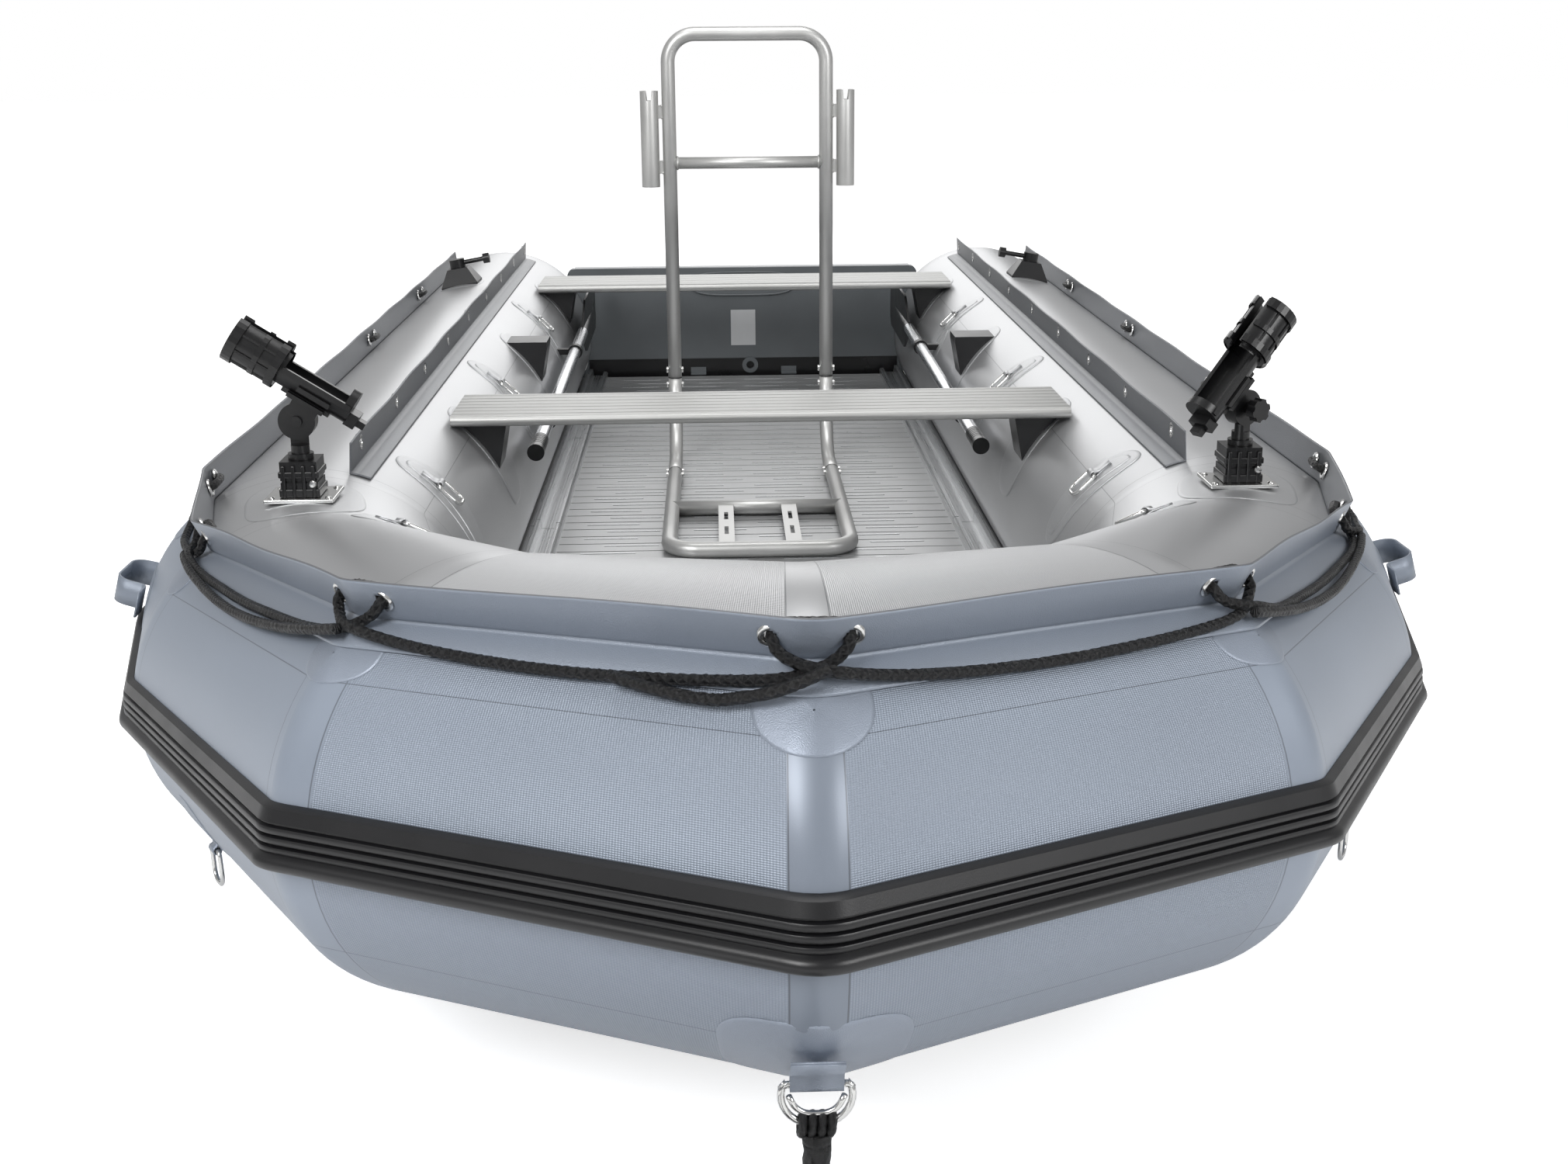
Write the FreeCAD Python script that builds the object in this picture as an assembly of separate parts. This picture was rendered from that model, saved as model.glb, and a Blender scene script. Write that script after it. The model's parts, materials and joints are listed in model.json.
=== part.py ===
import FreeCAD, Part
import math
import os
from FreeCAD import Vector

# Inflatable dinghy, millimetres. X is to port, Y runs from bow to stern, Z is up.
# Sizes are first given from the bow's axis corner at y = 0, and the finished
# pieces are moved back so that the origin is under the middle of the boat.
os.makedirs("parts", exist_ok=True)

# Buoyancy tubes
tube_r = 250.0
half_spacing = 710.0
tip_z = 378.0
shoulder = (352.0, 200.0, 345.0)
cheek = (648.0, 759.0)
side_start_y = 1014.0
transom_y = 3813.0
cone_gap = 60.0
cone_length = 490.0
cone_end_r = 120.0
glue_gap = 0.4
seam_gap = 1.0

# Bottom, air keel and floor
skin_t = 4.0
skin_angle = 130.0
skin_front_s = 60.0
keel_z = 10.0
keel_nose_l = 120.0
floor_top = 135.0
floor_t = 12.0
floor_front_y = 590.0
floor_front_half_w = 322.0
floor_gap = 1.5
floor_end_gap = 43.0
floor_groove_depth = 2.0
floor_groove_w = 5.0
floor_groove_pitch = 55.0
floor_sections = 4
floor_joint = 2.0
stringer_w = 66.0
stringer_h = 26.0
stringer_plate = 6.0
stringer_start_y = 1120.0
stringer_parts = 3

# Rub rail
rail_top = 48.0
rail_bottom = -20.0
rail_t = 14.0
rail_bead_r = 9.0

# Rope skirt, inner flaps and eyelets
skirt_angle = 59.0
skirt_h = 50.0
skirt_lean = 70.0
skirt_t = 2.5
skirt_foot = 9.0
foot_t = 1.2
flap_angle = 106.0
flap_h = 48.0
eyelet_r = 12.5
eyelet_hole_r = 7.5
eyelet_t = 1.4
eyelet_height = 26.0
eyelet_half_pitch = 32.0
eyelet_sides = 10
side_eyelet_y = (1650.0, 2350.0, 3050.0)
rope_r = 5.5
rope_knot_rise = 0.9
rope_knot_l = 14.0
rope_sides = 6
rope_angle = 51.0
rope_stretch = 12

# Transom
transom_t = 35.0
transom_drop = 47.0
transom_top = 2 * tube_r - transom_drop
transom_inset = 186.0
transom_half_w = half_spacing - transom_inset
transom_low_z = 72.0
transom_corner_r = 20.0
transom_bottom = 30.0
strip_top = 181.0
strip_t = 2.0
pad_w = 280.0
pad_h = 62.0
pad_t = 4.0
motor_plate_w = 300.0
motor_plate_h = 120.0
drain_x = 20.0
drain_z = 160.0
drain_r = 16.0
drain_flange_r = 24.0
clip_x = 137.0
clip_w = 46.0
clip_h = 20.0

# Benches and their brackets
bench_end_gap = 1.0
bench_w = 213.0
bench_t = 20.0
bench_drop = 27.0
bench_top = 2 * tube_r - bench_drop
bench_fore_y = 1550.0
bench_aft_y = 3300.0
bench_groove = 1.5
bench_grooves = 7
bracket_w = 96.0
bracket_reach = 240.0
bracket_in_x = half_spacing - bracket_reach
bracket_h = 113.0
bracket_foot_z = bench_top - bracket_h

# Oars and their clips
oar_r = 14.0
oar_grip_r = 16.0
oar_wall_gap = 20.0
oar_x = half_spacing - tube_r - oar_wall_gap
oar_tilt_rise = 0.013
oar_near_y = 1830.0
oar_rise = 92.0
oar_near_z = tube_r + oar_rise
oar_grip_l = 110.0
oar_shaft_l = 1270.0
oar_blade_l = 510.0
oar_blade_w = 140.0
oar_blade_t = 6.0
clip_y = (2130.0, 2930.0)
clip_wall = 4.0

# Steel rings
ring_wire_r = 3.0
ring_w = 44.0
ring_l = 46.0
ring_sides = 6
ring_lift = 7.5
chape_l = 26.0
chape_d = 14.0
chape_h = 12.0
inner_ring_y = (1180.0, 2085.0, 2965.0)
inner_ring_angle = 134.0
side_ring_angle = -38.0
side_ring_share = 0.72
bow_ring_wire_r = 3.5
bow_ring_w = 104.0
bow_ring_top_w = 62.0
bow_ring_h = 42.0
bow_ring_angle = -42.0
ring_play = 0.6

# Bow line
line_r = 14.0
hitch_strand_r = 4.6
coil_turns = 2
coil_pitch = 29.0
line_gap = 1.0
coil_in_r = 138.0

# Carry handles
handle_w = 40.0
handle_l = 190.0
handle_rise = 52.0
handle_t = 4.0
handle_y = 1060.0
handle_angle = 16.0

# Oarlocks
oarlock_y = 3200.0
oarlock_angle = 80.0
oarlock_base = 96.0
oarlock_h = 42.0
oarlock_pin_r = 6.0
oarlock_pin_l = 70.0
oarlock_knob_r = 13.0

# Rod holders
rod_mount_y = 862.0
rod_plate_w = 96.0
rod_plate_d = 80.0
rod_plate_t = 5.0
rod_block_w = 52.0
rod_block_h = 52.0
rod_neck_r = 13.0
rod_pivot_h = 112.0
rod_knuckle_r = 26.0
rod_knuckle_t = 22.0
rod_bore_r = 21.0
rod_rest_r = 22.0
rod_trough_end = 10.0
rod_collar_r = 31.0
rod_collar_l = 78.0
rod_trough_l = 112.0
rod_trough_r = 25.0
rod_knob_r = 17.0
rod_knob_t = 14.0
rod_turn = {"starboard": 0.0, "port": 30.0}
rod_rise = {"starboard": 33.0, "port": 45.0}
rod_bolt_r = 5.0

# Grab frame
frame_tube_r = 16.0
frame_half_w = 182.0
frame_y = 2665.0
frame_top = 1127.0
frame_corner_r = 62.0
frame_cross_z = 839.0
frame_leg_z = 335.0
frame_bend_r = 120.0
frame_sleeve_y = 2440.0
frame_front_y = 1782.0
frame_back_y = 2112.0
frame_foot_r = 60.0
frame_lift = 0.3
rod_tube_r = 21.0
rod_tube_bore = 18.5
rod_tube_z = (785.0, 1002.0)
rod_tube_gap = 8.0
rail_plate_x = 67.0
rail_plate_w = 32.0
rail_plate_t = 4.0
rail_slot_l = 60.0
rail_slot_r = 4.0
bolt_head_r = 7.0

# Air valves
valve_r = 28.0
valve_h = 9.0
valve_bow_s = 130.0
valve_bow_angle = 165.0
valve_cone_run = 150.0
valve_cone_angle = 150.0

up = Vector(0, 0, 1)
sides = {"port": 1, "starboard": -1}
side_z = tube_r
joints = {}


def unit(v):
    return Vector(v).normalize()


def mitre(before, after):
    """Plan direction of a seam between two tube runs, scaled so that the tube keeps its radius."""
    one = Vector(before.y, -before.x, 0)
    two = Vector(after.y, -after.x, 0)
    middle = unit(one + two)
    return middle / middle.dot(one)


def build_stations():
    """Corners of the port tube's axis: distance along it, centre, seam direction."""
    points = [
        Vector(0, 0, tip_z),
        Vector(*shoulder),
        Vector(cheek[0], cheek[1], side_z),
        Vector(half_spacing, side_start_y, side_z),
        Vector(half_spacing, transom_y + cone_gap + cone_length, side_z),
    ]
    flat = [Vector(p.x, p.y, 0) for p in points]
    runs = [unit(b - a) for a, b in zip(flat, flat[1:])]
    seams = [Vector(0, -1 / runs[0].x, 0)]
    seams += [mitre(a, b) for a, b in zip(runs, runs[1:])]
    seams.append(Vector(1, 0, 0))
    table = []
    along = 0.0
    for i, point in enumerate(points):
        if i:
            along += (flat[i] - flat[i - 1]).Length
        table.append((along, point, seams[i]))
    return table


stations = build_stations()
tip_s, shoulder_s, cheek_s, side_s, end_s = [row[0] for row in stations]


def s_at(y):
    """Distance along the axis of a place on the straight side tube."""
    return side_s + y - side_start_y


def hull(side, s, out, height):
    """Point beside the tube's axis, s along it, out from it and height above it."""
    for low, high in zip(stations, stations[1:]):
        if s <= high[0] or high is stations[-1]:
            f = (s - low[0]) / (high[0] - low[0])
            centre = low[1] * (1 - f) + high[1] * f
            seam = low[2] * (1 - f) + high[2] * f
            return Vector(side * (centre.x + seam.x * out), centre.y + seam.y * out, centre.z + height)


def polar(radius, degrees):
    a = math.radians(degrees)
    return radius * math.cos(a), radius * math.sin(a)


def surface(side, s, degrees, lift=0.0):
    """Point on the tube's skin, its outward normal, and the directions along and around it."""
    at = hull(side, s, *polar(tube_r + lift, degrees))
    along = unit(hull(side, s + 1, *polar(tube_r, degrees)) - hull(side, s - 1, *polar(tube_r, degrees)))
    around = unit(hull(side, s, *polar(tube_r, degrees + 1)) - hull(side, s, *polar(tube_r, degrees - 1)))
    normal = unit(along.cross(around))
    if normal.dot(at - hull(side, s, 0, 0)) < 0:
        normal = normal * -1
    return at, normal, along, unit(normal.cross(along))


def place(shape, origin, y_dir, z_dir):
    """Put a shape drawn about the origin at a place, its Y and Z along two directions."""
    z = unit(z_dir)
    x = unit(y_dir.cross(z))
    y = z.cross(x)
    moved = shape.copy()
    moved.Placement = FreeCAD.Placement(
        FreeCAD.Matrix(
            x.x, y.x, z.x, origin.x, x.y, y.y, z.y, origin.y, x.z, y.z, z.z, origin.z, 0, 0, 0, 1
        )
    )
    return moved


def box(x0, x1, y0, y1, z0, z1):
    return Part.makeBox(x1 - x0, y1 - y0, z1 - z0, Vector(x0, y0, z0))


def rod(radius, start, end):
    return Part.makeCylinder(radius, (end - start).Length, start, end - start)


def polygon(points):
    return Part.makePolygon(list(points) + [points[0]])


def prism(points, direction):
    return Part.Face(polygon(points)).extrude(direction)


def fuse(shapes):
    shapes = list(shapes)
    return shapes[0].multiFuse(shapes[1:]).removeSplitter() if len(shapes) > 1 else shapes[0]


def mirrored(shape):
    return shape.mirror(Vector(0, 0, 0), Vector(1, 0, 0))


def both(shape):
    return [shape, mirrored(shape)]


def ring_wire(side, s, radius):
    """The tube's outline in the seam plane at s."""
    centre = hull(side, s, 0, 0)
    out = hull(side, s, radius, 0)
    top = hull(side, s, 0, radius)
    if (out - centre).Length > radius + 0.001:
        edge = Part.Ellipse(out, top, centre).toShape()
    else:
        circle = Part.Circle(centre, (out - centre).cross(top - centre), radius)
        circle.XAxis = out - centre
        edge = circle.toShape()
    return Part.Wire(edge)


def hull_loft(rows, profile):
    """A strip along the hull: one profile of (out, height) points at each (side, s)."""
    wires = [polygon([hull(side, s, o, h) for o, h in profile]) for side, s in rows]
    return Part.makeLoft(wires, True, True)


def round_the_bow(last_s):
    """Every station from the starboard side round the bow to port."""
    ways = [tip_s, shoulder_s, cheek_s, side_s, last_s]
    return [(-1, s) for s in reversed(ways[1:])] + [(1, s) for s in ways]


def tube_path(points, radii):
    """Straight runs and tangent arcs through points, as (kind, data) steps."""
    steps = []
    here = points[0]
    for i in range(1, len(points) - 1):
        before = unit(points[i] - points[i - 1])
        after = unit(points[i + 1] - points[i])
        turn = before.getAngle(after)
        axis = unit(before.cross(after))
        reach = radii[i] * math.tan(turn / 2)
        start = points[i] - before * reach
        steps.append(("run", start - here))
        centre = start + axis.cross(before) * radii[i]
        steps.append(("arc", (centre, axis, math.degrees(turn))))
        here = points[i] + after * reach
    steps.append(("run", points[-1] - here))
    return steps


def bend_radii(points, share=0.45):
    """Arc radius at each inner point, from the shorter run beside it."""
    radii = [0.0]
    for a, b, c in zip(points, points[1:], points[2:]):
        turn = (b - a).getAngle(c - b)
        radii.append(share * min((b - a).Length, (c - b).Length) / math.tan(turn / 2))
    return radii + [0.0]


def section_edges(centre, direction, radius, count, start_dir):
    """Edges of a round (count 0) or many-sided section square to a direction."""
    if count == 0:
        return [Part.makeCircle(radius, centre, direction)]
    x = unit(start_dir - direction * start_dir.dot(direction))
    y = direction.cross(x)
    corners = []
    for i in range(count):
        a = 2 * math.pi * (i + 0.5) / count
        corners.append(centre + x * (radius * math.cos(a)) + y * (radius * math.sin(a)))
    return [Part.makeLine(a, b) for a, b in zip(corners, corners[1:] + corners[:1])]


def pipe(points, radii, radius, count=0, closed=False, start_dir=Vector(0.3, 0.2, 1)):
    """One solid tube along a path, built as runs and turned arcs of one section."""
    direction = unit(points[1] - points[0])
    edges = section_edges(points[0], direction, radius, count, start_dir)
    faces = [] if closed else [Part.Face(Part.Wire(edges))]
    for kind, data in tube_path(points, radii):
        if kind == "run":
            if data.Length < 0.001:
                continue
            faces += [e.extrude(data) for e in edges]
            edges = [e.translated(data) for e in edges]
        else:
            centre, axis, angle = data
            if angle < 0.01:
                continue
            faces += [e.revolve(centre, axis, angle) for e in edges]
            edges = [e.rotated(centre, axis, angle) for e in edges]
    if not closed:
        faces.append(Part.Face(Part.Wire(edges)))
    shell = Part.makeShell(faces)
    shell.sewShape()
    solid = Part.Solid(Part.Shell(shell.Faces))
    if solid.Volume < 0:
        solid.reverse()
    return solid


def d_ring(width, top_width, length, wire_r):
    """Steel ring with its bar on the X axis through the origin, hanging along +Y."""
    bend = 2 * wire_r
    half = width / 2
    half_top = top_width / 2
    r_end = min(half, length) * 0.72
    points = [
        Vector(0, 0, 0),
        Vector(half_top, 0, 0),
        Vector(half, length, 0),
        Vector(-half, length, 0),
        Vector(-half_top, 0, 0),
        Vector(0, 0, 0),
    ]
    radii = [0, bend, r_end, r_end, bend, 0]
    return pipe(points, radii, wire_r, ring_sides, True)


# Buoyancy tubes: bow chamber and two side chambers with their stern cones
def make_tubes():
    bow_rows = [(-1, cheek_s), (-1, shoulder_s), (1, tip_s), (1, shoulder_s), (1, cheek_s)]
    bow = Part.makeLoft([ring_wire(side, s, tube_r) for side, s in bow_rows], True, True)
    out = {"bow_tube": [bow]}
    cone_s = s_at(transom_y + cone_gap)
    for name, side in sides.items():
        wires = [ring_wire(side, s, tube_r) for s in (cheek_s, side_s, cone_s)]
        wires.append(ring_wire(side, end_s, cone_end_r))
        out[name + "_tube"] = [Part.makeLoft(wires, True, True)]
    return out


# Fabric bottom, glued under the tubes, with the air keel above it
def make_bottom():
    seam_r = tube_r + seam_gap + skin_t * math.sin(math.radians(skin_angle))
    edge = polar(seam_r, skin_angle)
    rows = []
    for s in (skin_front_s, shoulder_s, cheek_s, side_s, s_at(transom_y)):
        rows.append(hull(1, s, -abs(edge[0]), -edge[1]))
    share = [0.97, 0.85, 0.35, 0.0, 0.0]
    wires = []
    for point, f in zip(rows, share):
        middle = keel_z + (point.z - keel_z) * f
        lift = Vector(0, 0, skin_t)
        left = Vector(-point.x, point.y, point.z)
        centre = Vector(0, point.y, middle)
        wires.append(polygon([left, centre, point, point + lift, centre + lift, left + lift]))
    skin = Part.makeLoft(wires, True, True)
    keel_low = keel_z + skin_t + 1.0
    keel_high = floor_top - floor_t - 1.0
    keel_r = (keel_high - keel_low) / 2
    start = Vector(0, side_start_y + keel_nose_l, keel_low + keel_r)
    body = Part.makeCylinder(keel_r, transom_y - start.y - 60, start, Vector(0, 1, 0))
    tip = start - Vector(0, keel_nose_l, 0)
    nose = Part.makeCone(keel_r * 0.4, keel_r, keel_nose_l, tip, Vector(0, 1, 0))
    return {"bottom_skin": [skin], "air_keel": [fuse([nose, body])]}


# Ribbed rub rail round the hull, from one stern cone to the other
def make_rail():
    profile = []
    steps = 5
    for i in range(steps):
        k = rail_bottom + (rail_top - rail_bottom) * i / (steps - 1)
        profile.append((math.sqrt((tube_r + glue_gap) ** 2 - k * k), k))
    front = [(rail_top - 1.5, 0.75), (rail_top - 17, 1.0)]
    rib_pitch = (rail_top - 17 - rail_bottom - 2 * rail_bead_r) / 3
    for i in range(3):
        top = rail_top - 18 - rib_pitch * i
        front += [(top, 0.6), (top - 3, 0.6), (top - 4, 1.1), (top - rib_pitch + 1.5, 1.15)]
    for k, share in front:
        profile.append((math.sqrt((tube_r + rail_t * share) ** 2 - k * k), k))
    bead_k = rail_bottom + rail_bead_r
    bead_out = tube_r + rail_t * 0.9
    for a in (70, 35, 0, -35, -70, -100):
        o, h = polar(rail_bead_r, a)
        profile.append((bead_out + o, bead_k + h))
    return {"rub_rail": [hull_loft(round_the_bow(s_at(transom_y + cone_gap)), profile)]}


def skirt_point(along_skirt, off):
    """(out, height) of a place up the rope skirt, off it on the outer side."""
    base = polar(tube_r + 0.5, skirt_angle)
    u = polar(1.0, skirt_lean)
    v = (u[1], -u[0])
    return base[0] + u[0] * along_skirt + v[0] * off, base[1] + u[1] * along_skirt + v[1] * off


def eyelet_places():
    """(side, s) of each eyelet of the rope skirt, pairs at every corner and along the sides."""
    middles = [(1, tip_s)]
    for side in (1, -1):
        middles += [(side, s) for s in (shoulder_s, cheek_s, side_s)]
        middles += [(side, s_at(y)) for y in side_eyelet_y]
    out = []
    for side, s in middles:
        if s == tip_s:
            out += [(1, eyelet_half_pitch), (-1, eyelet_half_pitch)]
        else:
            out += [(side, s - eyelet_half_pitch), (side, s + eyelet_half_pitch)]
    return out


def many_sided(radius, count, height):
    points = []
    for i in range(count):
        a = 2 * math.pi * i / count
        points.append(Vector(radius * math.cos(a), radius * math.sin(a), 0))
    return prism(points, Vector(0, 0, height))


# Standing skirt with eyelets for the rope, and the plain flaps on the tubes' inner side
def make_skirts():
    base = polar(tube_r + 0.5, skirt_angle)
    step = math.degrees(skirt_t / tube_r)
    profile = [polar(tube_r + 0.5, skirt_angle + step), skirt_point(skirt_h, -skirt_t)]
    profile += [skirt_point(skirt_h, 0), skirt_point(3.0, 0)]
    for f in (0.15, 0.55, 1.0):
        profile.append(polar(tube_r + 0.5 + foot_t, skirt_angle - skirt_foot * f))
    for f in (1.0, 0.5, 0.0):
        profile.append(polar(tube_r + 0.5, skirt_angle - skirt_foot * f))
    end_s_skirt = s_at(transom_y - 40)
    skirt = hull_loft(round_the_bow(end_s_skirt), profile)
    holes = []
    eyelets = []
    for side, s in eyelet_places():
        face = hull(side, s, *skirt_point(eyelet_height, 0))
        spot = skirt_point(eyelet_height, 0)
        along = hull(side, s + 1, *spot) - hull(side, s - 1, *spot)
        rise = hull(side, s, *skirt_point(eyelet_height + 1, 0)) - face
        out = unit(along.cross(rise)) * side
        if out.dot(face - hull(side, s, 0, 0)) < 0:
            out = out * -1
        hole = many_sided(eyelet_hole_r, eyelet_sides, 40)
        holes.append(place(hole, face - out * 20, rise, out))
        washer = many_sided(eyelet_r, eyelet_sides, eyelet_t)
        washer = washer.cut(many_sided(eyelet_hole_r, eyelet_sides, eyelet_t))
        eyelets.append(place(washer, face + out * 0.05, rise, out))
    skirt = skirt.cut(Part.makeCompound(holes))
    flap_base = polar(tube_r + 0.5, flap_angle)
    flap_step = math.degrees(skirt_t / tube_r)
    near = polar(tube_r + 0.5, flap_angle - flap_step)
    profile = [flap_base, near, (near[0], near[1] + flap_h), (near[0] - skirt_t, near[1] + flap_h)]
    rows = [(1, side_s + 10), (1, end_s_skirt)]
    flap = hull_loft(rows, profile)
    return {"rope_skirt": [skirt], "inner_flaps": both(flap), "eyelets": eyelets}


# Grab rope: along the outside of the skirt, and behind it between the two eyelets of a pair
def rope_route():
    def outside(side, s, degrees=rope_angle, lift=0.0):
        return hull(side, s, *polar(tube_r + 0.5 + foot_t + rope_r + 1.2 + lift, degrees))

    def at_skirt(side, s, off, up_skirt=eyelet_height):
        return hull(side, s, *skirt_point(up_skirt, off))

    def pair(side, middle):
        """Points of one pass through two eyelets, on the way aft."""
        a = middle - eyelet_half_pitch
        b = middle + eyelet_half_pitch
        return [
            outside(side, a - 38, rope_angle + 1),
            at_skirt(side, a - 6, 15, eyelet_height - 3),
            at_skirt(side, a + 6, -17.5, eyelet_height + 3),
            at_skirt(side, b - 6, -17.5, eyelet_height + 3),
            at_skirt(side, b + 6, 15, eyelet_height - 3),
            outside(side, b + 38, rope_angle + 1),
        ]

    def bay(side, start, end, sag=2.5):
        """Loose stretch between two pairs."""
        count = max(1, round((end - start) / 165.0) - 1)
        points = []
        for i in range(count):
            f = (i + 1.0) / (count + 1)
            dip = sag * math.sin(math.pi * f)
            points.append(outside(side, start + (end - start) * f, rope_angle - dip))
        return points

    def one_side(side):
        middles = [shoulder_s, cheek_s, side_s] + [s_at(y) for y in side_eyelet_y]
        points = []
        last = tip_s + eyelet_half_pitch + 38
        for middle in middles:
            points += bay(side, last, middle - eyelet_half_pitch - 38)
            points += pair(side, middle)
            last = middle + eyelet_half_pitch + 38
        stop = s_at(transom_y - 120)
        points += bay(side, last, stop)
        points.append(outside(side, stop))
        return points

    b = eyelet_half_pitch
    tip = [outside(1, b + 38, rope_angle + 1), at_skirt(1, b + 6, 15, eyelet_height - 3)]
    tip.append(at_skirt(1, b - 6, -17.5, eyelet_height + 3))
    tip.append(at_skirt(-1, b - 6, -17.5, eyelet_height + 3))
    tip += [at_skirt(-1, b + 6, 15, eyelet_height - 3), outside(-1, b + 38, rope_angle + 1)]
    return list(reversed(one_side(1))) + tip + one_side(-1)


def make_rope():
    points = rope_route()
    radii = bend_radii(points)
    stretches = []
    for i in range(0, len(points), rope_stretch):
        part = points[i:i + rope_stretch]
        bends = radii[i:i + rope_stretch]
        if i:
            part = [(points[i - 1] + points[i]) / 2] + part
            bends = [0.0] + bends
        after = i + rope_stretch
        if after < len(points):
            part = part + [(points[after - 1] + points[after]) / 2]
            bends = bends + [0.0]
        stretches.append(pipe(part, bends, rope_r, rope_sides))
    length = sum((b - a).Length for a, b in zip(points, points[1:]))
    volume = sum(shape.Volume for shape in stretches)
    section = 0.5 * rope_sides * rope_r**2 * math.sin(2 * math.pi / rope_sides)
    print("grab rope: points", len(points), "length of runs", round(length), "least radius",
          round(min(radii[1:-1]), 1), "volume share", round(volume / (length * section), 3))
    knots = []
    for end, before in ((points[0], points[1]), (points[-1], points[-2])):
        way = unit(end - before)
        knots.append(Part.makeCone(rope_r + 0.3, rope_r + rope_knot_rise, rope_knot_l, end, way))
    return {"grab_rope": stretches + knots}


def wall_at_floor(s):
    """Point of the clearance line on the port tube's inner wall, at floor height."""
    drop = floor_top - hull(1, s, 0, 0).z
    return hull(1, s, -math.sqrt((tube_r + floor_gap) ** 2 - drop**2), drop)


# Aluminium floor boards with cross grooves, and the stringers that lock them
def make_floor():
    low = floor_top - floor_t
    corner = wall_at_floor(side_s)
    bend = wall_at_floor(cheek_s)
    reach = corner.x
    back = transom_y - floor_end_gap
    boards = []
    length = (back - corner.y) / floor_sections
    for i in range(floor_sections):
        y0 = corner.y + length * i
        y1 = y0 + length - floor_joint
        board = box(-reach, reach, y0, y1, low, floor_top)
        cuts = []
        count = int(length / floor_groove_pitch)
        for n in range(1, count):
            y = y0 + length * n / count
            half_w = reach - stringer_w - 12
            groove_z = floor_top - floor_groove_depth
            cuts.append(box(-half_w, half_w, y, y + floor_groove_w, groove_z, floor_top))
        boards.append(board.cut(Part.makeCompound(cuts)))
    front = [(reach - 1.0, corner.y - floor_joint), (bend.x, bend.y), (floor_front_half_w, floor_front_y)]
    outline = [Vector(x, y, low) for x, y in front]
    outline += [Vector(-x, y, low) for x, y in reversed(front)]
    boards.append(prism(outline, Vector(0, 0, floor_t)))
    rails = []
    outer = reach - 10.0
    inner = outer - stringer_w
    z = floor_top
    profile = [
        (inner, z), (inner, z + 14), (inner + 4, z + 18), (inner + 12, z + 18),
        (inner + 14, z + stringer_plate),
        (outer - 24, z + stringer_plate), (outer - 22, z + stringer_h), (outer - 14, z + stringer_h),
        (outer - 12, z + stringer_plate + 6), (outer, z + stringer_plate + 6), (outer, z),
    ]
    rail_l = (back - stringer_start_y) / stringer_parts
    for i in range(stringer_parts):
        y0 = stringer_start_y + rail_l * i
        rail = prism([Vector(x, y0, h) for x, h in profile], Vector(0, rail_l - 3.0, 0))
        rails += both(rail)
    return {"floor_boards": boards, "floor_stringers": rails}


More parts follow.
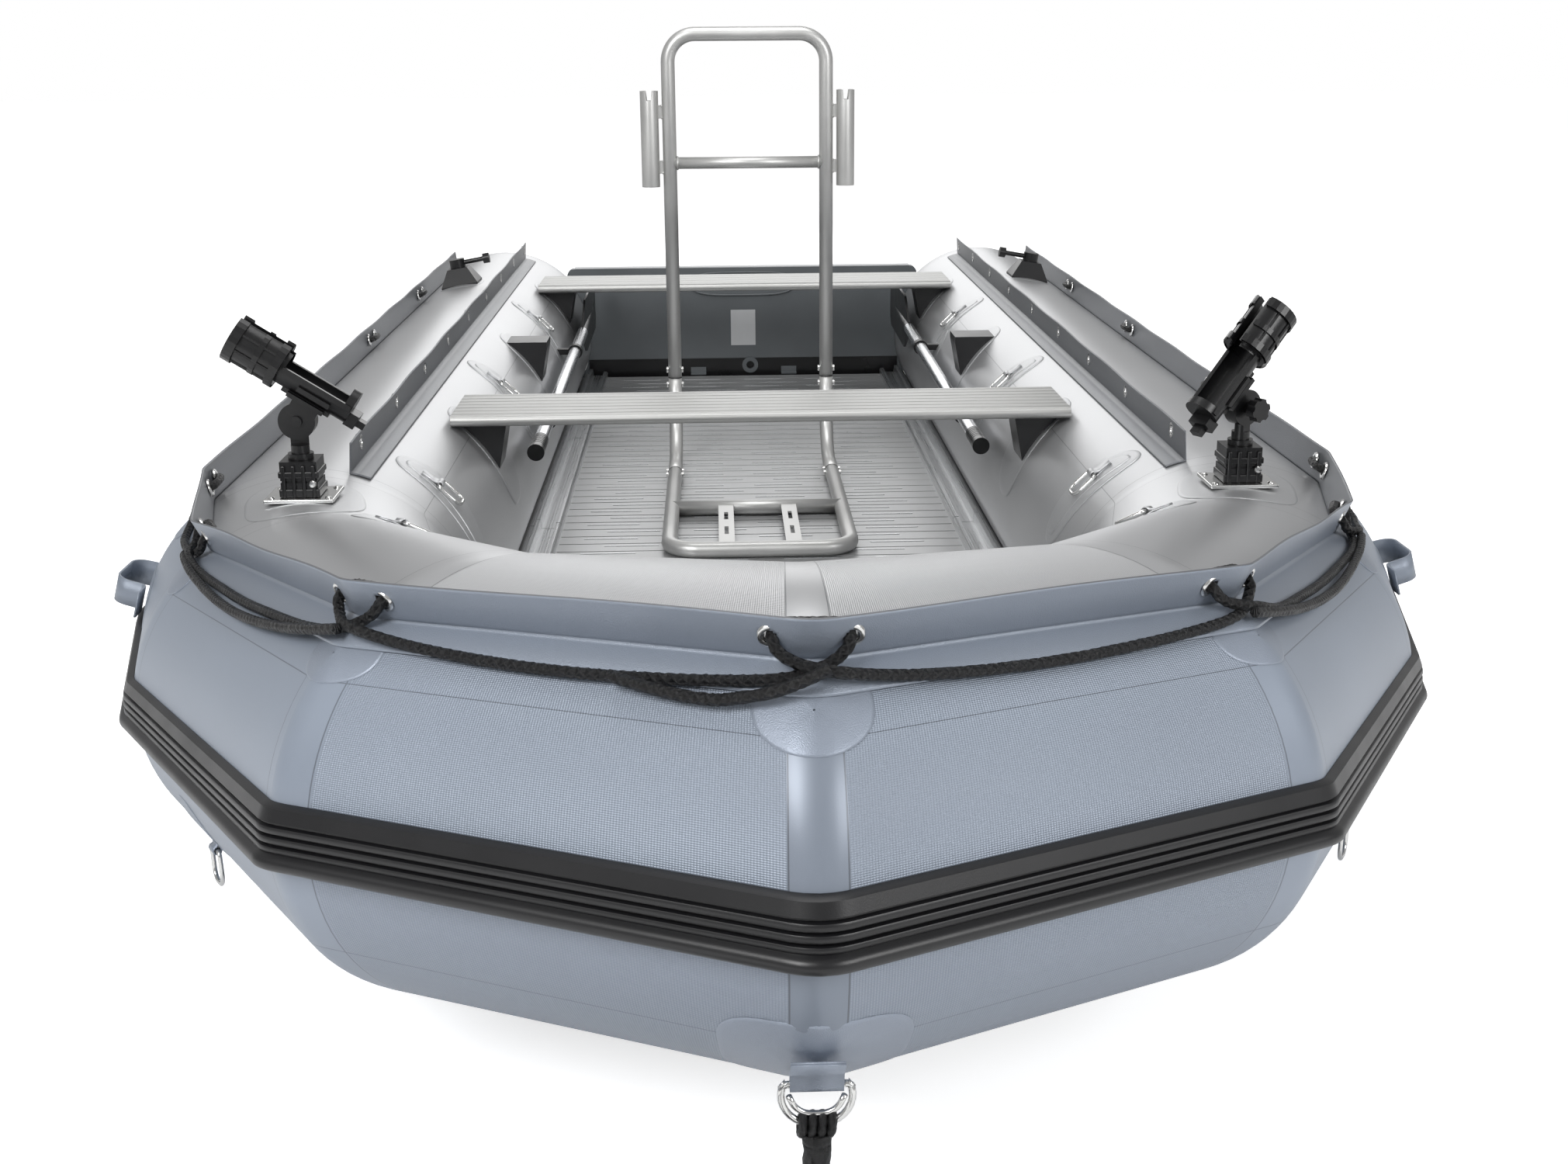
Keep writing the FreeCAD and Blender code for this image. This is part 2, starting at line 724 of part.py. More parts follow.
# Transom board between the tubes, its seal, motor pads, floor clips and drain
def make_transom():
    reach = tube_r + glue_gap
    corner_z = side_z + math.sqrt(reach**2 - (half_spacing - transom_half_w) ** 2)
    low_z = transom_low_z
    low_x = half_spacing - math.sqrt(reach**2 - (side_z - low_z) ** 2)
    y = transom_y
    r = transom_corner_r
    s = r * math.sqrt(0.5)

    def edge(side):
        top = Vector(side * (transom_half_w - r), y, transom_top)
        turn = Vector(side * (transom_half_w - r + s), y, transom_top - r + s)
        down = Vector(side * transom_half_w, y, transom_top - r)
        tube = Vector(side * transom_half_w, y, corner_z)
        middle = Vector(side * (half_spacing - reach), y, side_z)
        foot = Vector(side * low_x, y, low_z)
        return top, turn, down, tube, middle, foot

    p = edge(1)
    q = edge(-1)
    keel = Vector(0, y, transom_bottom)
    edges = [
        Part.makeLine(q[0], p[0]), Part.Arc(p[0], p[1], p[2]).toShape(), Part.makeLine(p[2], p[3]),
        Part.Arc(p[3], p[4], p[5]).toShape(), Part.makeLine(p[5], keel), Part.makeLine(keel, q[5]),
        Part.Arc(q[5], q[4], q[3]).toShape(),
        Part.makeLine(q[3], q[2]),
        Part.Arc(q[2], q[1], q[0]).toShape(),
    ]
    board = Part.Face(Part.Wire(edges)).extrude(Vector(0, transom_t, 0))
    hole = rod(drain_r, Vector(drain_x, y - 5, drain_z), Vector(drain_x, y + transom_t + 5, drain_z))
    board = board.cut(hole)
    strip_half = half_spacing - math.sqrt(reach**2 - (side_z - strip_top) ** 2) - 2
    strip = box(-strip_half, strip_half, y - strip_t, y, floor_top - floor_t, strip_top)
    strip = strip.cut(hole)

    def stadium(width, height, z, y0, depth):
        half = (width - height) / 2
        ends = []
        for x in (-half, half):
            ends.append(Part.makeCylinder(height / 2, depth, Vector(x, y0, z), Vector(0, 1, 0)))
        return fuse([box(-half, half, y0, y0 + depth, z - height / 2, z + height / 2)] + ends)

    pad_z = transom_top - 16 - pad_h / 2
    inner_pad = stadium(pad_w, pad_h, pad_z, y - pad_t, pad_t)
    plate_low = transom_top - motor_plate_h
    plate_y = y + transom_t
    outer = box(-motor_plate_w / 2, motor_plate_w / 2, plate_y, plate_y + 3, plate_low, transom_top - 6)
    clips = []
    for x in (-clip_x, clip_x):
        foot = box(x - clip_w / 2, x + clip_w / 2, y - strip_t - 24, y - strip_t, floor_top, floor_top + 4)
        clip_y1 = y - strip_t
        back = box(x - clip_w / 2, x + clip_w / 2, clip_y1 - 5, clip_y1, floor_top, floor_top + clip_h)
        clips.append(fuse([foot, back]))
    flange = Part.makeCylinder(drain_flange_r, 4, Vector(drain_x, y - strip_t - 4, drain_z), Vector(0, 1, 0))
    sleeve = Part.makeCylinder(
        drain_r - 0.2, strip_t + transom_t + 4, Vector(drain_x, y - strip_t, drain_z), Vector(0, 1, 0)
    )
    bore = Part.makeCylinder(
        drain_r - 4, strip_t + transom_t + 12, Vector(drain_x, y - strip_t - 6, drain_z), Vector(0, 1, 0)
    )
    fitting = fuse([flange, sleeve]).cut(bore)
    plug_y = y + transom_t + 4.3
    cap = Part.makeCylinder(drain_flange_r, 8, Vector(drain_x, plug_y, drain_z), Vector(0, 1, 0))
    tab = box(drain_x - 12, drain_x + 12, plug_y + 8, plug_y + 22, drain_z - 2.5, drain_z + 2.5)
    stem = Part.makeCylinder(drain_r - 4.1, 26, Vector(drain_x, plug_y - 26, drain_z), Vector(0, 1, 0))
    joints["drain_plug_pull"] = (Vector(drain_x, plug_y, drain_z), Vector(0, 1, 0))
    return {
        "transom": [board],
        "transom_strip": [strip],
        "motor_pads": [inner_pad, outer],
        "transom_fittings": clips + [fitting],
        "drain_plug": [fuse([cap, tab, stem])],
    }


# Extruded aluminium benches on rubber wedge brackets
def make_benches():
    out = {}
    low = bench_top - bench_t
    half_l = half_spacing - math.sqrt((tube_r + bench_end_gap) ** 2 - (low - side_z) ** 2)
    x = -half_l
    for name, y0 in (("bench_fore", bench_fore_y), ("bench_aft", bench_aft_y)):
        y1 = y0 + bench_w
        nose = bench_t / 2
        edges = [
            Part.makeLine(Vector(x, y0 + nose, bench_top), Vector(x, y1 - 4, bench_top)),
            Part.makeLine(Vector(x, y1 - 4, bench_top), Vector(x, y1, bench_top - 4)),
            Part.makeLine(Vector(x, y1, bench_top - 4), Vector(x, y1, low)),
            Part.makeLine(Vector(x, y1, low), Vector(x, y0 + nose, low)),
            Part.Arc(
                Vector(x, y0 + nose, low), Vector(x, y0, low + nose), Vector(x, y0 + nose, bench_top)
            ).toShape(),
        ]
        bench = Part.Face(Part.Wire(edges)).extrude(Vector(2 * half_l, 0, 0))
        cuts = []
        for i in range(bench_grooves):
            y = y0 + 22 + (bench_w - 40) * i / (bench_grooves - 1)
            cuts.append(box(x - 1, -x + 1, y - 1.5, y + 1.5, bench_top - bench_groove, bench_top + 1))
        out[name] = [bench.cut(Part.makeCompound(cuts))]
    brackets = []
    reach = tube_r + glue_gap
    span = bench_aft_y - bench_fore_y
    for y0 in (bench_fore_y, bench_fore_y + span / 2, bench_aft_y):
        y = y0 + (bench_w - bracket_w) / 2
        top_x = half_spacing - math.sqrt(reach**2 - (low - side_z) ** 2)
        foot_x = half_spacing - math.sqrt(reach**2 - (bracket_foot_z - side_z) ** 2)
        mid_z = (low + bracket_foot_z) / 2
        mid_x = half_spacing - math.sqrt(reach**2 - (mid_z - side_z) ** 2)
        a = Vector(bracket_in_x, y, low)
        b = Vector(top_x, y, low)
        c = Vector(foot_x, y, bracket_foot_z)
        d = Vector(bracket_in_x, y, low - 14)
        edges = [
            Part.makeLine(a, b), Part.Arc(b, Vector(mid_x, y, mid_z), c).toShape(),
            Part.makeLine(c, d), Part.makeLine(d, a),
        ]
        brackets += both(Part.Face(Part.Wire(edges)).extrude(Vector(0, bracket_w, 0)))
    out["bench_brackets"] = brackets
    return out


# Oars stowed along the tubes, in clips on the tube's inner side
def make_oars():
    out = {}
    way = unit(Vector(0, 1, oar_tilt_rise))
    near = Vector(oar_x, oar_near_y, oar_near_z)
    collar = near + way * oar_grip_l
    blade_start = collar + way * oar_shaft_l
    cap = rod(oar_grip_r + 1, near, near + way * 14)
    grip = fuse([cap, rod(oar_grip_r, near + way * 14, collar)])
    for i in range(6):
        at = near + way * (30 + 12 * i)
        grip = grip.cut(rod(oar_grip_r + 1, at, at + way * 3).cut(rod(oar_grip_r - 1, at, at + way * 3)))
    shaft = rod(oar_r, collar, blade_start)
    half = oar_blade_w / 2
    outline = [(0, 16), (0, -16), (110, -half), (oar_blade_l - 30, -half), (oar_blade_l, -half + 30),
               (oar_blade_l, half - 30), (oar_blade_l - 30, half), (110, half)]
    blade = prism([Vector(oar_x - oar_blade_t / 2, a, b) for a, b in outline], Vector(oar_blade_t, 0, 0))
    rib = Part.makeCone(oar_r, 4.0, oar_blade_l * 0.7, Vector(oar_x, 0, 0), Vector(0, 1, 0))
    blade = fuse([blade, rib])
    blade.rotate(Vector(oar_x, 0, 0), Vector(1, 0, 0), math.degrees(math.atan(oar_tilt_rise)))
    blade.translate(blade_start - Vector(oar_x, 0, 0))
    for name, side in sides.items():
        for part_name, shape in (("grip", grip), ("shaft", shaft), ("blade", blade)):
            out["oar_" + name + "_" + part_name] = [shape if side > 0 else mirrored(shape)]
        joints["oar_" + name + "_slide"] = (Vector(side * near.x, near.y, near.z), Vector(0, -way.y, -way.z))
    clips = []
    for y in clip_y:
        centre = near + way * ((y - oar_near_y) / way.y)
        ring = rod(oar_r + 0.3 + clip_wall, centre - way * 12, centre + way * 12)
        wall_x = half_spacing - math.sqrt((tube_r + glue_gap) ** 2 - (centre.z + 7 - side_z) ** 2)
        arm = box(oar_x, wall_x, y - 11, y + 11, centre.z - 7, centre.z + 7)
        clip = fuse([ring, arm]).cut(rod(oar_r + 0.3, centre - way * 30, centre + way * 30))
        tube_start = Vector(half_spacing, y - 30, side_z)
        tube = Part.makeCylinder(tube_r + glue_gap, 60, tube_start, Vector(0, 1, 0))
        clips += both(clip.cut(tube))
    out["oar_clips"] = clips
    return out


def chape(width, depth, height, lift, hole_r):
    """Loop block with the ring's bar running through it along X."""
    block = box(-width / 2, width / 2, -depth / 2, depth / 2, glue_gap, height)
    hole = Part.makeCylinder(hole_r, width + 4, Vector(-width / 2 - 2, 0, lift), Vector(1, 0, 0))
    return block.cut(hole)


# Steel rings in loop blocks glued to the tubes
def make_rings():
    out = {"ring_chapes": []}
    hanging = []
    for side_name, side in sides.items():
        for i, y in enumerate(inner_ring_y):
            hanging.append(("inner_ring_%s_%d" % (side_name, i + 1), side, s_at(y), inner_ring_angle, False))
        hanging.append(("bow_top_ring_" + side_name, side, cheek_s - 25, 118.0, False))
        side_ring_s = shoulder_s + side_ring_share * (cheek_s - shoulder_s)
        hanging.append(("side_ring_" + side_name, side, side_ring_s, side_ring_angle, True))
    for name, side, s, degrees, free in hanging:
        at, normal, along, around = surface(side, s, degrees)
        down = unit(along.cross(normal))
        if down.z > 0:
            down = down * -1
        block = chape(chape_l, chape_d, chape_h, ring_lift, ring_wire_r + ring_play)
        out["ring_chapes"].append(place(block, at, down, normal))
        pivot = at + normal * ring_lift
        ring = d_ring(ring_w, ring_w, ring_l, ring_wire_r)
        axis = unit(down.cross(normal))
        hang = down
        if free:
            hang = unit(up * -1 - axis * (up * -1).dot(axis))
        facing = unit(axis.cross(hang))
        out[name] = [place(ring, pivot, hang, facing)]
        joints[name + "_swing"] = (pivot, axis)
    return out


# Bow ring under the stem, with the bow line hitched to it and coiled on the ground
def make_bow_line():
    at, normal, along, around = surface(1, 0.0001, bow_ring_angle)
    out_dir, rise = polar(1.0, bow_ring_angle)
    normal = unit(Vector(0, -out_dir, rise))
    at = Vector(0, at.y, at.z)
    down = unit(Vector(0, rise, out_dir) * -1)
    if down.z > 0:
        down = down * -1
    block = chape(bow_ring_top_w - 12, 18, 15, 9.0, bow_ring_wire_r + ring_play)
    pivot = at + normal * 9.0
    ring = d_ring(bow_ring_w, bow_ring_top_w, bow_ring_h, bow_ring_wire_r)
    hang = Vector(0, 0, -1)
    ring = place(ring, pivot, hang, Vector(0, -1, 0))
    bar = pivot + hang * bow_ring_h
    joints["bow_ring_swing"] = (pivot, Vector(1, 0, 0))
    loop_r = bow_ring_wire_r + ring_play + hitch_strand_r
    loops = []
    for x in (-2 * hitch_strand_r, 0, 2 * hitch_strand_r):
        loops.append(Part.makeTorus(loop_r, hitch_strand_r + 0.15, bar + Vector(x, 0, 0), Vector(1, 0, 0)))
    top_z = bar.z - bow_ring_wire_r - ring_play - 5
    knot = Part.makeCylinder(line_r, 6, Vector(0, bar.y, top_z - 6), up)
    knot_end = Part.makeCone(line_r * 0.4, line_r, 4, Vector(0, bar.y, top_z - 10), up)
    clear = Part.makeCylinder(bow_ring_wire_r + ring_play, 60, bar - Vector(30, 0, 0), Vector(1, 0, 0))
    hitch = fuse(loops + [knot, knot_end]).cut(clear)

    start = Vector(0, bar.y, top_z - 10.4)
    ground = line_r + 0.4
    outer_r = coil_in_r + coil_pitch * coil_turns
    route = [
        start,
        start + Vector(0, -1, -34),
        start + Vector(0, -26, -78),
        start + Vector(3, -70, ground + 24 - start.z),
        start + Vector(1, -134, ground + 3 - start.z),
        start + Vector(0, -200, ground - start.z),
    ]
    radii = bend_radii(route)
    free = pipe(route, radii, line_r)
    length = sum((b - a).Length for a, b in zip(route, route[1:]))
    print("bow line: radii", [round(r) for r in radii[1:-1]], "volume share",
          round(free.Volume / (math.pi * line_r**2 * length), 3))

    landing = route[-1] - Vector(0, line_gap, 0)
    steps = 4 * coil_turns
    centre = landing + Vector(-outer_r, 0, 0)
    biarcs = []
    coil_length = 0.0
    here = landing
    middle = Vector(centre)
    radius = outer_r
    start_angle = 0.0
    for i in range(steps):
        end_angle = start_angle - math.pi / 2
        half = start_angle - math.pi / 4
        mid_point = middle + Vector(math.cos(half), math.sin(half), 0) * radius
        end_dir = Vector(math.cos(end_angle), math.sin(end_angle), 0)
        end_point = middle + end_dir * radius
        biarcs.append(Part.Arc(here, mid_point, end_point).toShape())
        coil_length += radius * math.pi / 2
        here = end_point
        smaller = radius - coil_pitch / 4
        middle = middle + end_dir * (radius - smaller)
        radius = smaller
        start_angle = end_angle
    spine = Part.Wire(biarcs)
    maker = Part.BRepOffsetAPI.MakePipeShell(spine)
    maker.add(Part.Wire([Part.makeCircle(line_r, landing, Vector(0, -1, 0))]))
    maker.build()
    maker.makeSolid()
    coil = maker.shape()
    print("bow line coil: least gap between turns", round(coil_pitch - 2 * line_r, 2),
          "length", round(coil_length + length))
    tangent = Vector(math.sin(start_angle), -math.cos(start_angle), 0)
    end_knot = Part.makeCylinder(line_r - 1, 26, here + tangent * line_gap, tangent)
    return {
        "ring_chapes": [place(block, at, down, normal)],
        "bow_ring": [ring],
        "bow_line_hitch": [hitch],
        "bow_line": [free],
        "bow_line_coil": [coil],
        "bow_line_knot": [end_knot],
    }


# Webbing carry handles on the outer side of the tubes
def make_handles():
    at, normal, along, around = surface(1, s_at(handle_y), handle_angle)
    half = handle_l / 2
    rise = handle_rise
    t = handle_t
    outline = [
        (-half, glue_gap), (-half + 34, glue_gap), (-half + 44, rise - t - 8), (-half + 56, rise - t),
        (half - 56, rise - t), (half - 44, rise - t - 8), (half - 34, glue_gap), (half, glue_gap),
        (half, glue_gap + t), (half - 30, glue_gap + t), (half - 40, rise - 6), (half - 54, rise),
        (-half + 54, rise), (-half + 40, rise - 6), (-half + 30, glue_gap + t), (-half, glue_gap + t),
    ]
    strap = prism([Vector(-handle_w / 2, a, b) for a, b in outline], Vector(handle_w, 0, 0))
    return {"carry_handles": both(place(strap, at, along, normal))}


# Oarlocks on the tubes' tops, with the pin that goes through the oar
def make_oarlocks():
    at, normal, along, around = surface(1, s_at(oarlock_y), oarlock_angle)
    low = oarlock_base / 2
    high = low * 0.55
    bottom = polygon([Vector(x, y, 1.2) for x, y in ((-low, -low), (low, -low), (low, low), (-low, low))])
    corners = ((-high, -high), (high, -high), (high, high), (-high, high))
    top = polygon([Vector(x, y, oarlock_h) for x, y in corners])
    base = Part.makeLoft([bottom, top], True, True)
    saddle = Part.makeCylinder(tube_r + glue_gap, 200, Vector(0, -100, -tube_r), Vector(0, 1, 0))
    skirt = box(-low, low, -low, low, -6, 1.2)
    base = fuse([skirt, base]).cut(saddle)
    socket = Part.makeCylinder(16.0, oarlock_h, Vector(0, 0, 12), up)
    base = base.cut(socket)
    z0 = oarlock_h + 0.5
    stem = Part.makeCylinder(15.7, z0 + 6 - 14, Vector(0, 0, 14), up)
    head = Part.makeCylinder(20.0, 22, Vector(0, 0, z0), up)
    pin_z = z0 + 11
    pin = Part.makeCylinder(oarlock_pin_r, oarlock_pin_l, Vector(0, 0, pin_z), Vector(-1, 0, 0))
    knob = Part.makeCylinder(oarlock_knob_r, 16, Vector(-oarlock_pin_l, 0, pin_z), Vector(-1, 0, 0))
    lock = fuse([stem, head, pin, knob])
    base = place(base, at, along, normal)
    lock = place(lock, at, along, normal)
    if lock.BoundBox.XMax - at.x > at.x - lock.BoundBox.XMin:
        lock.rotate(at, normal, 180)
    for name, side in sides.items():
        point = Vector(side * at.x, at.y, at.z)
        joints["oarlock_" + name + "_turn"] = (point, Vector(side * normal.x, normal.y, normal.z))
    return {"oarlock_bases": both(base), "oarlock_port": [lock], "oarlock_starboard": [mirrored(lock)]}


# Rod holders: plate and block on the tube, a swivel with a knuckle, a cradle and its clamp knob
def make_rod_holders():
    out = {"rod_mounts": []}
    share = (rod_mount_y - cheek[1]) / (side_start_y - cheek[1])
    s = cheek_s + (side_s - cheek_s) * share
    for name, side in sides.items():
        at, normal, along, around = surface(side, s, 90.0)
        at = Vector(at.x, at.y, at.z)
        half_w = rod_plate_w / 2
        half_d = rod_plate_d / 2
        plate = box(-half_w, half_w, -half_d, half_d, glue_gap, rod_plate_t)
        half = rod_block_w / 2
        block = box(-half, half, -half, half, rod_plate_t, rod_plate_t + rod_block_h)
        for z in (14.0, 27.0, 40.0):
            groove = box(-half - 1, half + 1, -half - 1, half + 1, z, z + 3)
            core = box(-half + 2, half - 2, -half + 2, half - 2, z, z + 3)
            block = block.cut(groove.cut(core))
        top = rod_plate_t + rod_block_h
        socket = Part.makeCylinder(rod_neck_r + 0.05, 30, Vector(0, 0, top - 30), up)
        mount = fuse([plate, block]).cut(socket)
        mount.translate(at)
        out["rod_mounts"].append(mount)
        pivot = Vector(0, 0, rod_pivot_h)
        neck = Part.makeCylinder(rod_neck_r, rod_pivot_h - top + 29, Vector(0, 0, top - 29), up)
        collar = Part.makeCylinder(rod_neck_r + 5, 8, Vector(0, 0, top + 0.3), up)
        cheek_t = rod_knuckle_t / 2
        disc = Part.makeCylinder(rod_knuckle_r, cheek_t, pivot + Vector(0, 0.3, 0), Vector(0, 1, 0))
        inner_trim = box(-40, 40, -40, 0.3, top + 20, rod_pivot_h + 60)
        outer_trim = box(-40, 40, cheek_t + 0.3, 40, top + 20, rod_pivot_h + 60)
        swivel = fuse([neck.cut(Part.makeCompound([inner_trim, outer_trim])), collar, disc])
        pin_bore = Part.makeCylinder(rod_bolt_r + 0.3, 60, pivot - Vector(0, 30, 0), Vector(0, 1, 0))
        swivel = swivel.cut(pin_bore)
        ear = Part.makeCylinder(rod_knuckle_r, cheek_t, pivot - Vector(0, cheek_t, 0), Vector(0, 1, 0))
        ear = ear.cut(pin_bore)
        base_z = rod_pivot_h + rod_knuckle_r + 6
        axis_z = base_z + rod_trough_r
        back = -58.0
        trough = Part.makeCylinder(rod_trough_r, rod_trough_l, Vector(back, 0, axis_z), Vector(1, 0, 0))
        collar_x = back + rod_trough_l
        mouth_at = Vector(collar_x, 0, axis_z)
        cradle_collar = Part.makeCylinder(rod_collar_r, rod_collar_l, mouth_at, Vector(1, 0, 0))
        web = box(-20, 20, -cheek_t, -0.0, rod_pivot_h, axis_z - rod_trough_r + 6)
        web = web.cut(pin_bore)
        shelf = box(-34, 40, -cheek_t, cheek_t, base_z - 4, axis_z - rod_trough_r + 8)
        body = fuse([trough, cradle_collar, web, shelf, ear])
        full = collar_x + rod_collar_l
        bore = Part.makeCylinder(rod_bore_r, full - collar_x, Vector(collar_x, 0, axis_z), Vector(1, 0, 0))
        rest_x = back + rod_trough_end
        rest = Part.makeCylinder(rod_rest_r, collar_x - rest_x, Vector(rest_x, 0, axis_z), Vector(1, 0, 0))
        open_r = rod_trough_r + 1
        trough_mouth = box(back + 12, collar_x - 6, -open_r, open_r, axis_z + 6, axis_z + 60)
        slot = box(collar_x - 8, full + 1, -8, 8, axis_z, axis_z + 60)
        body = body.cut(Part.makeCompound([bore, rest, trough_mouth, slot]))
        knob_y = rod_knuckle_t / 2 + 0.6
        knob = Part.makeCylinder(rod_knob_r, rod_knob_t, pivot + Vector(0, knob_y + 12, 0), Vector(0, 1, 0))
        boss = Part.makeCylinder(8.0, 12, pivot + Vector(0, knob_y, 0), Vector(0, 1, 0))
        bolt_l = knob_y + rod_knuckle_t / 2 + 0.4
        bolt_start = pivot - Vector(0, rod_knuckle_t / 2 + 0.4, 0)
        bolt = Part.makeCylinder(rod_bolt_r, bolt_l, bolt_start, Vector(0, 1, 0))
        bolt_head = Part.makeCylinder(rod_bolt_r + 3, 4, bolt_start - Vector(0, 4, 0), Vector(0, 1, 0))
        notches = []
        for i in range(6):
            a = math.pi * 2 * i / 6
            notch_at = rod_knob_r + 3
            spot = pivot + Vector(notch_at * math.cos(a), knob_y + 11, notch_at * math.sin(a))
            notches.append(Part.makeCylinder(6.0, rod_knob_t + 2, spot, Vector(0, 1, 0)))
        knob = fuse([knob.cut(Part.makeCompound(notches)), boss, bolt, bolt_head])
        turn = rod_turn[name] + (180.0 if side < 0 else 0.0)
        swivel = swivel.mirror(Vector(0, 0, 0), Vector(0, 1, 0))
        body = body.mirror(Vector(0, 0, 0), Vector(0, 1, 0))
        knob = knob.mirror(Vector(0, 0, 0), Vector(0, 1, 0))
        for shape in (body, knob):
            shape.rotate(pivot, Vector(0, 1, 0), -rod_rise[name])
        for shape in (swivel, body, knob):
            shape.rotate(Vector(0, 0, 0), up, turn)
            shape.translate(at)
        out["rod_swivel_" + name] = [swivel]
        out["rod_cradle_" + name] = [body]
        out["rod_knob_" + name] = [knob]
        spin = FreeCAD.Rotation(up, turn)
        joints["rod_swivel_" + name + "_turn"] = (at, up)
        joints["rod_cradle_" + name + "_tilt"] = (at + pivot, spin.multVec(Vector(0, 1, 0)))
        lean = FreeCAD.Rotation(Vector(0, 1, 0), -rod_rise[name])
        mouth = lean.multVec(Vector(full - rod_collar_l / 2, 0, axis_z - rod_pivot_h))
        bore_way = spin.multVec(lean.multVec(Vector(1, 0, 0)))
        joints["rod_bore_" + name] = (at + pivot + spin.multVec(mouth), bore_way)
    return out


# Bent tube grab frame with a cross bar, rod tubes, legs and a foot frame on the floor
def make_grab_frame():
    w = frame_half_w
    r = frame_tube_r
    foot_z = floor_top + frame_lift + r
    split = frame_leg_z
    bar = [Vector(-w, frame_y, split), Vector(-w, frame_y, frame_top), Vector(w, frame_y, frame_top),
           Vector(w, frame_y, split)]
    hoop = pipe(bar, [0, frame_corner_r, frame_corner_r, 0], r)
    cross = rod(r * 0.85, Vector(-w, frame_y, frame_cross_z), Vector(w, frame_y, frame_cross_z))
    hoop = hoop.fuse(cross)
    tubes = []
    tube_x = w + r + rod_tube_gap + rod_tube_r
    z0, z1 = rod_tube_z
    tube = rod(rod_tube_r, Vector(tube_x, frame_y, z0), Vector(tube_x, frame_y, z1))
    tube = tube.cut(rod(rod_tube_bore, Vector(tube_x, frame_y, z0 - 1), Vector(tube_x, frame_y, z1 + 1)))
    notch = box(tube_x - 6, tube_x + 6, frame_y - 40, frame_y + 40, z1 - 22, z1 + 1)
    tube = tube.cut(notch)
    tabs = []
    for z in (z0 + 30, z1 - 62):
        tabs.append(box(w + r * 0.5, tube_x - rod_tube_bore - 1.0, frame_y - 2, frame_y + 2, z, z + 30))
    clear = rod(rod_tube_bore, Vector(tube_x, frame_y, z0 - 1), Vector(tube_x, frame_y, z1 + 1))
    holder = fuse([tube] + tabs).cut(clear)
    hoop = fuse([hoop, holder, mirrored(holder)])
    leg = [Vector(w, frame_y, split), Vector(w, frame_y, foot_z), Vector(w, frame_sleeve_y, foot_z)]
    legs = pipe(leg, [0, frame_bend_r, 0], r)
    foot = [Vector(-w, frame_sleeve_y, foot_z), Vector(-w, frame_front_y, foot_z),
            Vector(w, frame_front_y, foot_z), Vector(w, frame_sleeve_y, foot_z)]
    base = pipe(foot, [0, frame_foot_r, frame_foot_r, 0], r)
    back_bar = rod(r, Vector(-w, frame_back_y, foot_z), Vector(w, frame_back_y, foot_z))
    base = base.fuse(back_bar)
    plates = []
    for x in (-rail_plate_x, rail_plate_x):
        plate = box(x - rail_plate_w / 2, x + rail_plate_w / 2, frame_front_y, frame_back_y,
                    foot_z + 6, foot_z + 6 + rail_plate_t)
        length = frame_back_y - frame_front_y
        for y in (frame_front_y + length * 0.33, frame_front_y + length * 0.68):
            slot = box(x - rail_slot_r, x + rail_slot_r, y - rail_slot_l / 2 + rail_slot_r,
                       y + rail_slot_l / 2 - rail_slot_r, foot_z, foot_z + 20)
            ends = []
            for e in (-1, 1):
                end_y = y + e * (rail_slot_l / 2 - rail_slot_r)
                ends.append(Part.makeCylinder(rail_slot_r, 20, Vector(x, end_y, foot_z), up))
            plate = plate.cut(Part.makeCompound([slot] + ends))
        plates.append(plate)
    base = fuse([base] + plates)
    bolts = []
    for x in (-w, w):
        for z in (split + 18, split - 18):
            bolts.append((Vector(x, frame_y, z), Vector(1, 0, 0)))
        for y in (frame_sleeve_y + 18, frame_sleeve_y - 18):
            bolts.append((Vector(x, y, foot_z), Vector(1, 0, 0)))
    heads = []
    for at, way in bolts:
        for sign in (-1, 1):
            start = at + way * (sign * (r - 0.6))
            head = Part.makeCylinder(bolt_head_r, 4.6, start, way * sign)
            full = rod(r + 0.02, at - Vector(0, 0, 30), at + Vector(0, 0, 30))
            if abs(at.y - frame_y) > 1:
                full = rod(r + 0.02, at - Vector(0, 30, 0), at + Vector(0, 30, 0))
            heads.append(head.cut(full))
    return {
        "grab_hoop": [hoop],
        "grab_frame_legs": both(legs),
        "grab_frame_foot": [base],
        "grab_frame_bolts": heads,
    }


# Air valves: one inside the bow and one on the inner side of each stern cone
def make_valves(chambers):
    valves = []
    flare = math.atan((tube_r - cone_end_r) / cone_length)
    body = Part.makeCylinder(valve_r, valve_h, Vector(0, 0, -4), up)
    cap = Part.makeCylinder(valve_r * 0.7, valve_h, Vector(0, 0, -1), up)
    grip = box(-valve_r * 0.5, valve_r * 0.5, -3, 3, 0, valve_h + 3)
    valve = fuse([body, cap, grip])
    at, normal, along, around = surface(1, valve_bow_s, valve_bow_angle)
    valves.append(place(valve, at, along, normal).cut(chambers["bow_tube"][0]).translated(normal * glue_gap))
    radius = tube_r - valve_cone_run * math.tan(flare)
    out, height = polar(1.0, valve_cone_angle)
    y = transom_y + cone_gap + valve_cone_run
    for name, side in sides.items():
        radial = Vector(side * out, 0, height)
        at = Vector(side * half_spacing, y, side_z) + radial * radius
        normal = radial * math.cos(flare) + Vector(0, math.sin(flare), 0)
        along = Vector(0, math.cos(flare), 0) - radial * math.sin(flare)
        seated = place(valve, at, along, normal).cut(chambers[name + "_tube"][0])
        valves.append(seated.translated(normal * glue_gap))
    return {"air_valves": valves}


